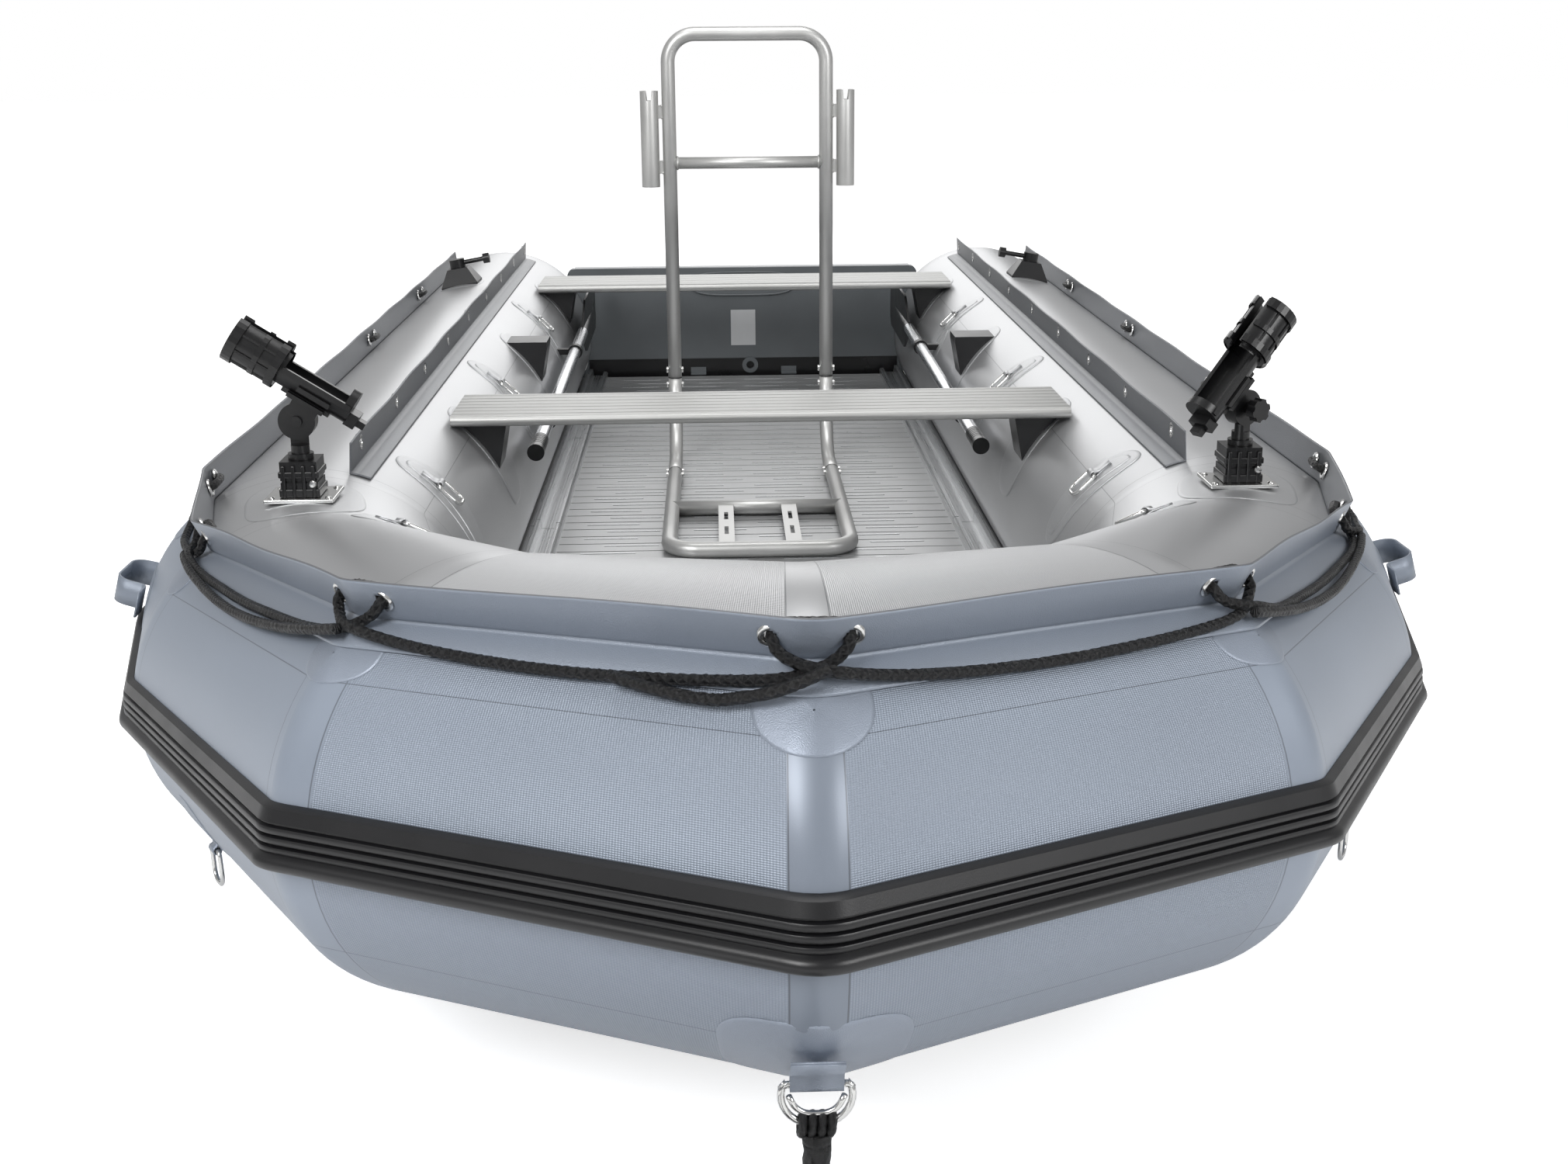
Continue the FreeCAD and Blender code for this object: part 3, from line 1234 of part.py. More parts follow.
def write(groups):
    pieces = {}
    for group in groups:
        for name, solids in group.items():
            pieces.setdefault(name, []).extend(solids)
    solid_box = FreeCAD.BoundBox()
    for name, solids in pieces.items():
        if name.startswith("bow_line"):
            continue
        for s in solids:
            solid_box.add(s.BoundBox)
    middle = (solid_box.YMin + solid_box.YMax) / 2
    print("middle", round(middle, 3), "size", round(solid_box.XLength), round(solid_box.YLength),
          round(solid_box.ZLength), "lowest", round(solid_box.ZMin, 3))
    for name, solids in sorted(pieces.items()):
        loose = []
        for shape in solids:
            loose += shape.Solids
        for shape in loose:
            if not shape.isValid():
                print("not valid", name)
        whole = Part.makeCompound(loose)
        whole.translate(Vector(0, -middle, 0))
        whole.exportStep("parts/%s.step" % name)
    print(len(pieces), "sub-parts")
    for name, (pos, axis) in joints.items():
        shifted = pos - Vector(0, middle, 0)
        print("joint", name, [round(v, 3) for v in shifted], [round(v, 5) for v in axis])
    return pieces


tubes = make_tubes()
write([
    tubes,
    make_bottom(),
    make_rail(),
    make_skirts(),
    make_rope(),
    make_floor(),
    make_transom(),
    make_benches(),
    make_oars(),
    make_rings(),
    make_bow_line(),
    make_handles(),
    make_oarlocks(),
    make_rod_holders(),
    make_grab_frame(),
    make_valves(tubes),
])
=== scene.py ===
import math

import bpy
import numpy as np
from mathutils import Matrix, Vector
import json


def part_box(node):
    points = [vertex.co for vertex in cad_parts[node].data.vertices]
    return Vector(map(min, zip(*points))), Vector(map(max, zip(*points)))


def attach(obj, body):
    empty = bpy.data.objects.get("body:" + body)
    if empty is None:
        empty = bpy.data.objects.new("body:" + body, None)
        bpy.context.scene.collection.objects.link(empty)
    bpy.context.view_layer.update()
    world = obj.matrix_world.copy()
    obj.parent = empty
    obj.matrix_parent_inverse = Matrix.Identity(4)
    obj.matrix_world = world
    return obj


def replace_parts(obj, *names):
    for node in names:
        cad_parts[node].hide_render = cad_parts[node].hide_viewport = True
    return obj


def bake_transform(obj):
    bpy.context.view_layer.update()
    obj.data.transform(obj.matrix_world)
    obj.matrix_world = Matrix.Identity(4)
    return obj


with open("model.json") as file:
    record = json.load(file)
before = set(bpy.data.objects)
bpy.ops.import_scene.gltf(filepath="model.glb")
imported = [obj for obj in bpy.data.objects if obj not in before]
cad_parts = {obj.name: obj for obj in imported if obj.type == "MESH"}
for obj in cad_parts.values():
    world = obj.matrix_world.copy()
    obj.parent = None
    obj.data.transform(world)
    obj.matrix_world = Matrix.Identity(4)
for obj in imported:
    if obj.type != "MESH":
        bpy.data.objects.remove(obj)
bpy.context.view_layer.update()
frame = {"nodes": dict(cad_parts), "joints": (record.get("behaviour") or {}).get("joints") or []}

# Hull sizes in metres, y from the bow's axis corner
tubeR = 0.25
halfSpacing = 0.71
sideZ = 0.25
sternEndY = 4.363
coneStartY = 3.873
coneEndR = 0.12
sideStartY = 1.014
transomY = 3.813
skirtAngle = 59.0
softCorner = 0.010
tipCorner = 0.018
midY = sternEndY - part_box("port_tube")[1][1]

axisPoints = [(0.0, 0.0, 0.378), (0.352, 0.2, 0.345), (0.648, 0.759, sideZ), (halfSpacing, sideStartY, sideZ),
              (halfSpacing, sternEndY, sideZ)]


def flatUnit(a, b):
    way = Vector((b[0] - a[0], b[1] - a[1]))
    return way / way.length


def seamDirection(before, after):
    one = Vector((before.y, -before.x))
    two = Vector((after.y, -after.x))
    middle = (one + two).normalized()
    return middle / middle.dot(one)


runs = [flatUnit(a, b) for a, b in zip(axisPoints, axisPoints[1:])]
seams = [Vector((0, -1 / runs[0].x))]
seams += [seamDirection(a, b) for a, b in zip(runs, runs[1:])]
seams.append(Vector((1, 0)))
stationS = [0.0]
for a, b in zip(axisPoints, axisPoints[1:]):
    stationS.append(stationS[-1] + math.hypot(b[0] - a[0], b[1] - a[1]))
shoulderS, cheekS, sideS = stationS[1:4]
stationColumns = [[p[i] for p in axisPoints] for i in range(3)]
seamColumns = [[m[i] for m in seams] for i in range(2)]


def sideAt(y):
    return sideS + y - sideStartY


# A place on the axis and the way its section leans, with the mitred corners rounded off
def station(q):
    centre = Vector((0, 0, 0))
    seam = Vector((0, 0, 0))
    spread = softCorner if abs(q) > 0.1 else tipCorner
    for shift in (-spread, -spread / 2, 0.0, spread / 2, spread):
        s = abs(q + shift)
        side = 1.0 if q + shift >= 0 else -1.0
        x, y, z = [float(np.interp(s, stationS, column)) for column in stationColumns]
        mx, my = [float(np.interp(s, stationS, column)) for column in seamColumns]
        centre += Vector((side * x, y - midY, z)) * 0.2
        seam += Vector((side * mx, my, 0)) * 0.2
    return centre, seam


def hullAt(q, out, height):
    centre, seam = station(q)
    return centre + seam * out + Vector((0, 0, height))


def polar(radius, degrees):
    a = math.radians(degrees)
    return radius * math.cos(a), radius * math.sin(a)


def onHull(q, degrees, lift=0.0):
    return hullAt(q, *polar(tubeR + lift, degrees))


def hullFrame(q, degrees):
    at = onHull(q, degrees)
    along = (onHull(q + 0.002, degrees) - onHull(q - 0.002, degrees)).normalized()
    over = (onHull(q, degrees + 0.5) - onHull(q, degrees - 0.5)).normalized()
    normal = along.cross(over).normalized()
    if normal.dot(at - hullAt(q, 0, 0)) < 0:
        normal = -normal
    return at, normal, along, normal.cross(along)


def alongHull(start, stop, step=0.06):
    count = max(1, int(math.ceil(abs(stop - start) / step)))
    marks = {round(start + (stop - start) * i / count, 5) for i in range(count + 1)}
    for corner in (0.0, shoulderS, cheekS, sideS):
        for sign in (-1, 1):
            for shift in (-0.02, -0.015, -0.01, -0.005, 0.0, 0.005, 0.01, 0.015, 0.02):
                mark = sign * corner + shift
                if start < mark < stop:
                    marks.add(round(mark, 5))
    return sorted(marks)


# Materials


def put(tree, target, value):
    if isinstance(value, (int, float, tuple)):
        target.default_value = value
    else:
        tree.links.new(value, target)


def addNode(tree, kind, **values):
    node = tree.nodes.new("ShaderNode" + kind)
    for socket, value in values.items():
        put(tree, node.inputs[socket], value)
    return node


def feed(material, socket, value):
    put(material.node_tree, material.node_tree.nodes["Principled BSDF"].inputs[socket], value)


def newMaterial(name, color, roughness, metallic=0.0):
    material = bpy.data.materials.new(name)
    material.use_nodes = True
    feed(material, "Base Color", (*color, 1))
    feed(material, "Roughness", roughness)
    feed(material, "Metallic", metallic)
    return material


def calc(tree, operation, a, b=0.0, c=0.0):
    node = tree.nodes.new("ShaderNodeMath")
    node.operation = operation
    for i, value in enumerate((a, b, c)):
        put(tree, node.inputs[i], value)
    return node.outputs[0]


def noiseOf(tree, vector, scale, detail=3.0):
    return addNode(tree, "TexNoise", Scale=scale, Detail=detail, Vector=vector).outputs["Fac"]


def coords(tree, kind="Object"):
    return tree.nodes.new("ShaderNodeTexCoord").outputs[kind]


def splitUv(tree):
    node = addNode(tree, "SeparateXYZ", Vector=coords(tree, "UV"))
    return node.outputs["X"], node.outputs["Y"]


def mixColors(tree, factor, a, b):
    node = tree.nodes.new("ShaderNodeMix")
    node.data_type = "RGBA"
    put(tree, node.inputs["Factor"], factor)
    put(tree, node.inputs[6], a)
    put(tree, node.inputs[7], b)
    return node.outputs[2]


def tinted(color, gain):
    return (*[c * gain for c in color], 1)


def bumpTo(material, height, strength, distance, below=None):
    tree = material.node_tree
    node = addNode(tree, "Bump", Strength=strength, Distance=distance, Height=height)
    if below is not None:
        tree.links.new(below, node.inputs["Normal"])
    feed(material, "Normal", node.outputs[0])
    return node.outputs[0]


def lineMask(tree, value, place, width):
    off = calc(tree, "ABSOLUTE", calc(tree, "SUBTRACT", value, place))
    return calc(tree, "LESS_THAN", off, width / 2)


def around(degrees):
    return math.radians(degrees + 90) * tubeR


# stripPaintedShade darkens the tip strip's colour: painted shade that tones down the highlight the strip catches
fabric = {"rough": 0.37, "clouds": 2.2, "grain": 900.0, "seam": 0.0012, "overlap": 0.0011, "seamInk": 0.55,
          "strip": 0.020, "stripPaintedShade": -0.2, "weave": 0.0042, "coat": 0.08}


# Coated fabric; with an inner color it is the tubes' own, with seams, tip strip and embossed bow panels, and with
# painted shade in the emboss's hollows and on the tip strip
def coatedFabric(name, outer, metal=0.3, inner=None):
    material = newMaterial(name, outer, fabric["rough"], metal)
    tree = material.node_tree
    place = coords(tree)
    cloud = noiseOf(tree, place, fabric["clouds"], 2.0)
    fine = noiseOf(tree, place, fabric["grain"], 1.0)
    mottleAndPaintedShade = calc(tree, "MULTIPLY_ADD", cloud, 0.16, 0.92)
    if inner:
        u, v = splitUv(tree)
        size = calc(tree, "ABSOLUTE", u)
        inside = calc(tree, "GREATER_THAN", v, around(skirtAngle))
        color = mixColors(tree, inside, (*outer, 1), (*inner, 1))
        feed(material, "Metallic", calc(tree, "MULTIPLY_ADD", inside, 0.52, 0.2))
        lines = lineMask(tree, size, fabric["strip"], fabric["seam"])
        for mark in (shoulderS - 0.030, shoulderS + 0.024, cheekS - 0.026, cheekS + 0.028, sideS - 0.025,
                     sideS + 0.025):
            lines = calc(tree, "MAXIMUM", lines, lineMask(tree, size, mark, fabric["seam"]))
        for degrees in (48, -24, 135, 196):
            lines = calc(tree, "MAXIMUM", lines, lineMask(tree, v, around(degrees), fabric["overlap"]))
        ink = calc(tree, "MULTIPLY", lines, fabric["seamInk"])
        color = mixColors(tree, ink, color, (0.05, 0.055, 0.065, 1))
        panel = calc(tree, "LESS_THAN", size, shoulderS - 0.032)
        panel = calc(tree, "MULTIPLY", panel, calc(tree, "GREATER_THAN", size, fabric["strip"] + 0.001))
        waves = []
        for operation in ("ADD", "SUBTRACT"):
            turned = calc(tree, "MULTIPLY", calc(tree, operation, u, v), 2 * math.pi / fabric["weave"])
            waves.append(calc(tree, "SINE", turned))
        weave = calc(tree, "MULTIPLY", calc(tree, "MULTIPLY", *waves), panel)
        height = calc(tree, "ADD", calc(tree, "MULTIPLY", weave, 0.8), calc(tree, "MULTIPLY", fine, 0.15))
        height = calc(tree, "SUBTRACT", height, calc(tree, "MULTIPLY", lines, 1.5))
        # Painted shade and light: the colour is darker in the emboss's hollows and lighter on its crowns, on top of
        # the random cloud mottle
        mottleAndPaintedShade = calc(tree, "MULTIPLY", mottleAndPaintedShade, calc(tree, "MULTIPLY_ADD", weave, 0.10, 1.0))
        # Painted shade: the tip strip's colour is darkened to tone down its highlight
        strip = calc(tree, "LESS_THAN", size, fabric["strip"] + 0.001)
        mottleAndPaintedShade = calc(tree, "MULTIPLY", mottleAndPaintedShade, calc(tree, "MULTIPLY_ADD", strip, fabric["stripPaintedShade"], 1.0))
    else:
        color = mixColors(tree, cloud, (*outer, 1), tinted(outer, 1.12))
        height = fine
    gain = tree.nodes.new("ShaderNodeVectorMath")
    gain.operation = "SCALE"
    put(tree, gain.inputs[0], color)
    put(tree, gain.inputs["Scale"], mottleAndPaintedShade)
    feed(material, "Base Color", gain.outputs[0])
    wide = bumpTo(material, cloud, 0.12, 0.006)
    bumpTo(material, height, 0.75, 0.0005, wide)
    feed(material, "Coat Weight", fabric["coat"])
    feed(material, "Coat Roughness", 0.3)
    return material


def bumpyMaterial(name, color, roughness, scale, metallic=0.0, strength=0.25):
    material = newMaterial(name, color, roughness, metallic)
    tree = material.node_tree
    place = coords(tree)
    grain = noiseOf(tree, place, scale)
    worn = noiseOf(tree, place, 9.0)
    feed(material, "Roughness", calc(tree, "MULTIPLY_ADD", worn, 0.16, roughness - 0.08))
    feed(material, "Base Color", mixColors(tree, worn, tinted(color, 0.88), tinted(color, 1.12)))
    bumpTo(material, grain, strength, 0.0003)
    return material


def linedMetal(name, color, roughness, axis, pitch, depth, metallic=1.0):
    material = newMaterial(name, color, roughness, metallic)
    tree = material.node_tree
    split = addNode(tree, "SeparateXYZ", Vector=coords(tree))
    wave = calc(tree, "SINE", calc(tree, "MULTIPLY", split.outputs[axis], 2 * math.pi / pitch))
    groove = calc(tree, "SMOOTH_MIN", wave, -0.2, 0.3)
    stretch = (2, 240, 240) if axis == "Y" else (240, 2, 240)
    stretched = addNode(tree, "Mapping", Scale=stretch, Vector=coords(tree))
    brushed = noiseOf(tree, stretched.outputs[0], 3.0, 2.0)
    feed(material, "Base Color", mixColors(tree, brushed, tinted(color, 0.86), tinted(color, 1.1)))
    feed(material, "Roughness", calc(tree, "MULTIPLY_ADD", brushed, 0.2, roughness - 0.1))
    bumpTo(material, groove, 0.7, depth)
    return material


def ropeMaterial(name, radius, pitch):
    material = newMaterial(name, (0.012, 0.012, 0.013), 0.34)
    tree = material.node_tree
    u, v = splitUv(tree)
    turn = calc(tree, "MULTIPLY", v, 3.0 / radius)
    run = calc(tree, "MULTIPLY", u, 2 * math.pi / pitch)
    one = calc(tree, "SINE", calc(tree, "ADD", run, turn))
    two = calc(tree, "SINE", calc(tree, "SUBTRACT", run, turn))
    braid = calc(tree, "MAXIMUM", one, two)
    rough = calc(tree, "ADD", braid, noiseOf(tree, coords(tree), 1800.0, 1.0))
    # Painted highlights: light flecks on the braid's crowns stand in for glints on the black rope
    paintedGlint = calc(tree, "MULTIPLY", calc(tree, "GREATER_THAN", rough, 1.66), 0.5)
    feed(material, "Base Color", mixColors(tree, paintedGlint, (0.0025, 0.0025, 0.003, 1), (0.09, 0.09, 0.095, 1)))
    bumpTo(material, rough, 1.0, 0.0014)
    return material


mats = {
    "tube": coatedFabric("tube fabric", (0.250, 0.286, 0.345), inner=(0.49, 0.495, 0.505)),
    "trim": coatedFabric("trim fabric", (0.225, 0.255, 0.305)),
    "patch": coatedFabric("patch fabric", (0.24, 0.272, 0.328)),
    "silver": coatedFabric("silver fabric", (0.48, 0.486, 0.496), 0.72),
    # The flap fabric is a darker grey than the blue-grey trim: painted shade for the inner flaps and for one face of
    # the skirt
    "flap": coatedFabric("flap fabric painted shade", (0.145, 0.152, 0.165), 0.35),
    "under": coatedFabric("bottom fabric", (0.19, 0.21, 0.25)),
    "rubber": bumpyMaterial("rail rubber", (0.007, 0.007, 0.008), 0.36, 600.0),
    "plastic": bumpyMaterial("black plastic", (0.005, 0.005, 0.0055), 0.30, 1400.0),
    "rope": ropeMaterial("braided rope", 0.006, 0.011),
    "line": ropeMaterial("bow line braid", 0.014, 0.022),
    "steel": bumpyMaterial("polished steel", (0.72, 0.72, 0.71), 0.2, 300.0, 1.0, 0.04),
    "satin": bumpyMaterial("satin tube", (0.60, 0.60, 0.59), 0.42, 1600.0, 0.8, 0.12),
    "oar": linedMetal("oar tube", (0.66, 0.67, 0.69), 0.26, "X", 0.004, 0.00005),
    "bench": linedMetal("bench extrusion", (0.50, 0.50, 0.49), 0.46, "Y", 0.0085, 0.0007),
    "floor": linedMetal("floor boards", (0.46, 0.465, 0.47), 0.42, "Y", 0.0138, 0.0001, 0.7),
    "stringer": linedMetal("stringers", (0.62, 0.63, 0.64), 0.3, "X", 0.006, 0.0002),
    "board": bumpyMaterial("transom paint", (0.105, 0.115, 0.122), 0.42, 260.0, 0.0, 0.3),
    "edge": bumpyMaterial("board edge", (0.52, 0.53, 0.54), 0.45, 260.0),
    "web": bumpyMaterial("webbing", (0.03, 0.03, 0.033), 0.7, 700.0, 0.0, 0.6),
}


# Mesh helpers


def meshPiece(name, points, faces, uvs, material, body="hull", smooth=True):
    data = bpy.data.meshes.new(name)
    data.from_pydata([tuple(p) for p in points], [], faces)
    if uvs is not None:
        layer = data.uv_layers.new(name="UVMap")
        layer.data.foreach_set("uv", [value for face in uvs for pair in face for value in pair])
    data.polygons.foreach_set("use_smooth", [smooth] * len(data.polygons))
    data.materials.append(mats[material])
    data.validate()
    obj = bpy.data.objects.new(name, data)
    bpy.context.scene.collection.objects.link(obj)
    if body:
        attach(obj, body)
    return obj


def gridPiece(name, rows, marks, material, body="hull", ring=True, caps=False, skip=None, smooth=True):
    points = [p for row in rows for p in row]
    wide = len(rows[0])
    faces = []
    uvs = []
    across = [0.0]
    middle = rows[len(rows) // 2]
    for i in range(wide):
        across.append(across[-1] + (middle[(i + 1) % wide] - middle[i]).length)
    for r in range(len(rows) - 1):
        for i in range(wide if ring else wide - 1):
            j = (i + 1) % wide
            if skip and skip(r, i):
                continue
            faces.append([r * wide + i, r * wide + j, (r + 1) * wide + j, (r + 1) * wide + i])
            uvs.append([(marks[r], across[i]), (marks[r], across[i + 1]), (marks[r + 1], across[i + 1]),
                        (marks[r + 1], across[i])])
    if caps:
        for r in (0, len(rows) - 1):
            corners = list(range(r * wide, (r + 1) * wide))
            if r == 0:
                corners.reverse()
            faces.append(corners)
            uvs.append([(marks[r], across[k % wide]) for k in corners])
    return meshPiece(name, points, faces, uvs, material, body, smooth)


def selectOnly(objects):
    for other in bpy.context.selected_objects:
        other.select_set(False)
    for obj in objects:
        obj.select_set(True)
    bpy.context.view_layer.objects.active = objects[0]


def smoothByAngle(obj, degrees=35.0):
    selectOnly([obj])
    bpy.ops.object.shade_smooth_by_angle(angle=math.radians(degrees))


def join(name, objects, body="hull"):
    selectOnly(objects)
    bpy.ops.object.join()
    whole = objects[0]
    whole.name = name
    whole.data.name = name
    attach(whole, body)
    return whole


# Corners of a bent bar or strap turned into arcs
def roundedPath(corners, radii, step=0.3, closed=False):
    points = []
    count = len(corners)
    for i in range(count):
        if not closed and i in (0, count - 1):
            points.append(corners[i])
            continue
        before = (corners[i] - corners[i - 1]).normalized()
        after = (corners[(i + 1) % count] - corners[i]).normalized()
        turn = before.angle(after)
        if turn < 0.01 or radii[i] <= 0:
            points.append(corners[i])
            continue
        start = corners[i] - before * radii[i] * math.tan(turn / 2)
        axis = before.cross(after).normalized()
        centre = start + axis.cross(before) * radii[i]
        steps = max(2, int(turn / step) + 1)
        for k in range(steps + 1):
            points.append(centre + Matrix.Rotation(turn * k / steps, 3, axis) @ (start - centre))
    return points


def sweep(name, points, section, material, body="hull", closed=False, width=None, step=None):
    if step:
        dense = [points[0]]
        for a, b in zip(points, points[1:]):
            parts = max(1, int((b - a).length / step))
            dense += [a.lerp(b, k / parts) for k in range(1, parts + 1)]
        points = dense
    count = len(points)
    rows = []
    marks = []
    length = 0.0
    normal = None
    for i, point in enumerate(points):
        before = points[i - 1] if i or closed else points[i]
        after = points[(i + 1) % count] if i < count - 1 or closed else points[i]
        way = (after - before).normalized()
        if normal is None:
            normal = way.orthogonal().normalized() if width is None else width
        normal = (normal - way * normal.dot(way)).normalized()
        side = way.cross(normal)
        if i:
            length += (point - points[i - 1]).length
        rows.append([point + normal * a + side * b for a, b in section(length)])
        marks.append(length)
    if closed:
        rows.append(rows[0])
        marks.append(length + (points[0] - points[-1]).length)
    return gridPiece(name, rows, marks, material, body, True, not closed)


def roundSection(radius, count=20):
    ring = [polar(radius, 360.0 * k / count) for k in range(count)]
    return lambda length: ring


def flatSection(width, thickness):
    w = width / 2
    t = thickness / 2
    shape = [(w, -t), (w, t), (0, t), (-w, t), (-w, -t), (0, -t)]
    return lambda length: shape


def braidSection(radius, pitch, count=14, depth=0.10):
    def at(length):
        ring = []
        for k in range(count):
            a = 2 * math.pi * k / count
            run = 2 * math.pi * length / pitch
            lift = max(math.sin(run + 3 * a), math.sin(run - 3 * a))
            size = radius * (1 - depth + depth * lift)
            ring.append((size * math.cos(a), size * math.sin(a)))
        return ring
    return at


def splinePoints(points):
    data = bpy.data.curves.new("route", "CURVE")
    data.dimensions = "3D"
    spline = data.splines.new("NURBS")
    spline.points.add(len(points) - 1)
    for i, point in enumerate(points):
        spline.points[i].co = (*point, 1)
    spline.order_u = 3
    spline.use_endpoint_u = True
    spline.resolution_u = 8
    holder = bpy.data.objects.new("route", data)
    mesh = bpy.data.meshes.new_from_object(holder)
    found = [v.co.copy() for v in mesh.vertices]
    bpy.data.objects.remove(holder)
    bpy.data.curves.remove(data)
    bpy.data.meshes.remove(mesh)
    return found


def lathe(name, outline, at, axis, material, body="hull", count=32):
    axis = axis.normalized()
    x = axis.orthogonal().normalized()
    y = axis.cross(x)
    rows = []
    marks = []
    for k in range(count + 1):
        a = 2 * math.pi * k / count
        way = x * math.cos(a) + y * math.sin(a)
        rows.append([at + way * r + axis * h for r, h in outline])
        marks.append(a * 0.02)
    obj = gridPiece(name, rows, marks, material, body, False)
    smoothByAngle(obj)
    return obj


def solid(obj, thickness, offset):
    modifier = obj.modifiers.new("thickness", "SOLIDIFY")
    modifier.thickness = thickness
    modifier.offset = offset
    return modifier


def block(name, low, high, material, body="hull", bevel=0.0):
    points = [Vector((x, y, z)) for x in (low[0], high[0]) for y in (low[1], high[1]) for z in (low[2], high[2])]
    faces = [(0, 1, 3, 2), (4, 6, 7, 5), (0, 4, 5, 1), (2, 3, 7, 6), (0, 2, 6, 4), (1, 5, 7, 3)]
    obj = meshPiece(name, points, faces, None, material, body, False)
    if bevel:
        modifier = obj.modifiers.new("bevel", "BEVEL")
        modifier.width = bevel
        modifier.segments = 2
        modifier.limit_method = "ANGLE"
    return obj


def dress(node, material):
    for place in frame["nodes"][node].material_slots:
        place.link = "OBJECT"
        place.material = mats[material]


def jointNamed(name):
    return [joint for joint in frame["joints"] if joint["name"] == name][0]


# Camera

view = {"x": -0.080, "y": -1.694, "z": 1.135, "yaw": 0.036, "pitch": 0.294, "roll": 0.007, "focal": 2351.0,
        "across": 2021, "sensor": 36.0}
camera = bpy.data.objects.new("camera", bpy.data.cameras.new("camera"))
bpy.context.scene.collection.objects.link(camera)
camera.location = (view["x"], view["y"] - midY, view["z"])
turned = Matrix.Rotation(-view["yaw"], 3, "Z") @ Matrix.Rotation(math.pi / 2 - view["pitch"], 3, "X")
turned = turned @ Matrix.Rotation(-view["roll"], 3, "Z")
camera.rotation_euler = turned.to_euler()
camera.data.sensor_width = view["sensor"]
camera.data.lens = view["sensor"] * view["focal"] / view["across"]
camera.data.clip_start = 0.05
bpy.context.scene.camera = camera

# Bow line: the seen part hangs from the hitch, the rest is coiled on the ground

lineSpec = {"radius": 0.014, "coilIn": 0.138, "pitch": 0.029, "turns": 2, "perTurn": 16, "ground": 0.0144}


def bowLine():
    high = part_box("bow_line")[1]
    s = Vector((0.0, high[1] - lineSpec["radius"], high[2]))
    g = lineSpec["ground"]
    route = [
        s,
        s + Vector((0, -0.001, -0.034)),
        s + Vector((0, -0.026, -0.078)),
        Vector((0.003, s.y - 0.070, g + 0.024)),
        Vector((0.001, s.y - 0.134, g + 0.003)),
        Vector((0.0, s.y - 0.200, g)),
    ]
    outer = lineSpec["coilIn"] + lineSpec["pitch"] * lineSpec["turns"]
    middle = route[-1] + Vector((-outer, 0, 0))
    count = lineSpec["perTurn"]
    for k in range(1, count * lineSpec["turns"] + 1):
        a = -2 * math.pi * k / count
        size = (outer - lineSpec["pitch"] * k / count) / math.cos(math.pi / count) ** 0.5
        route.append(middle + Vector((math.cos(a) * size, math.sin(a) * size, 0)))
    path = splinePoints(route)
    length = sum((b - a).length for a, b in zip(path, path[1:]))
    line = sweep("bow_line_braid", path, braidSection(lineSpec["radius"], 0.03, 18, 0.09), "line", None, step=0.006)
    outline = [(0.0, 0.0), (0.012, 0.0), (0.0138, 0.004), (0.0136, 0.012), (0.0138, 0.020), (0.012, 0.026),
               (0.0, 0.0262)]
    knot = lathe("bow_line_end", outline, path[-1], path[-1] - path[-2], "web")
    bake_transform(line)
    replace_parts(line, "bow_line", "bow_line_coil")
    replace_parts(knot, "bow_line_knot")
    [tuple(p) for p in path]


bowLine()
print("camera and bow line")

# Buoyancy tubes

tubeSpec = {"around": 96, "coneRows": 14, "coneReach": 0.985}


def tubes():
    angles = [-90 + 360.0 * k / tubeSpec["around"] for k in range(tubeSpec["around"] + 1)]

    def rowsFor(marks):
        rows = []
        for q in marks:
            centre, seam = station(q)
            row = []
            for a in angles:
                out, up = polar(tubeR, a)
                row.append(centre + seam * out + Vector((0, 0, up)))
            rows.append(row)
        return rows

    marks = alongHull(-cheekS, cheekS, 0.03)
    bow = gridPiece("bow_chamber", rowsFor(marks), marks, "tube", ring=False)
    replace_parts(bow, "bow_tube")
    coneS = sideAt(coneStartY)
    length = sternEndY - coneStartY
    cone = []
    for k in range(1, tubeSpec["coneRows"] + 1):
        f = k / tubeSpec["coneRows"]
        cone.append((f * tubeSpec["coneReach"], tubeR + (coneEndR - tubeR) * f, coneS + length * f))
    for f, reach in ((0.96, 0.990), (0.85, 0.996), (0.5, 0.999), (0.02, 1.0)):
        cone.append((reach, coneEndR * f, coneS + length + 0.1 * (1 - f)))
    for name, sign in (("port", 1), ("starboard", -1)):
        marks = [sign * m for m in alongHull(cheekS, coneS - 0.001)]
        rows = rowsFor(marks)
        for reach, size, mark in cone:
            ring = [polar(size, a) for a in angles]
            rows.append([Vector((sign * (halfSpacing + out), coneStartY + length * reach - midY, sideZ + up))
                         for out, up in ring])
            marks.append(sign * mark)
        side = gridPiece(name + "_chamber", rows, marks, "tube", ring=False)
        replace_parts(side, name + "_tube")


tubes()
print("tubes")

# Rub rail: a wide flat top, three ribs and a round bead below

railSpec = {"top": 0.048, "bottom": -0.020, "deep": 0.0085, "proud": 0.0135, "ribH": 0.0108, "ribs": 3,
            "beadR": 0.009, "beadOut": 0.0122}


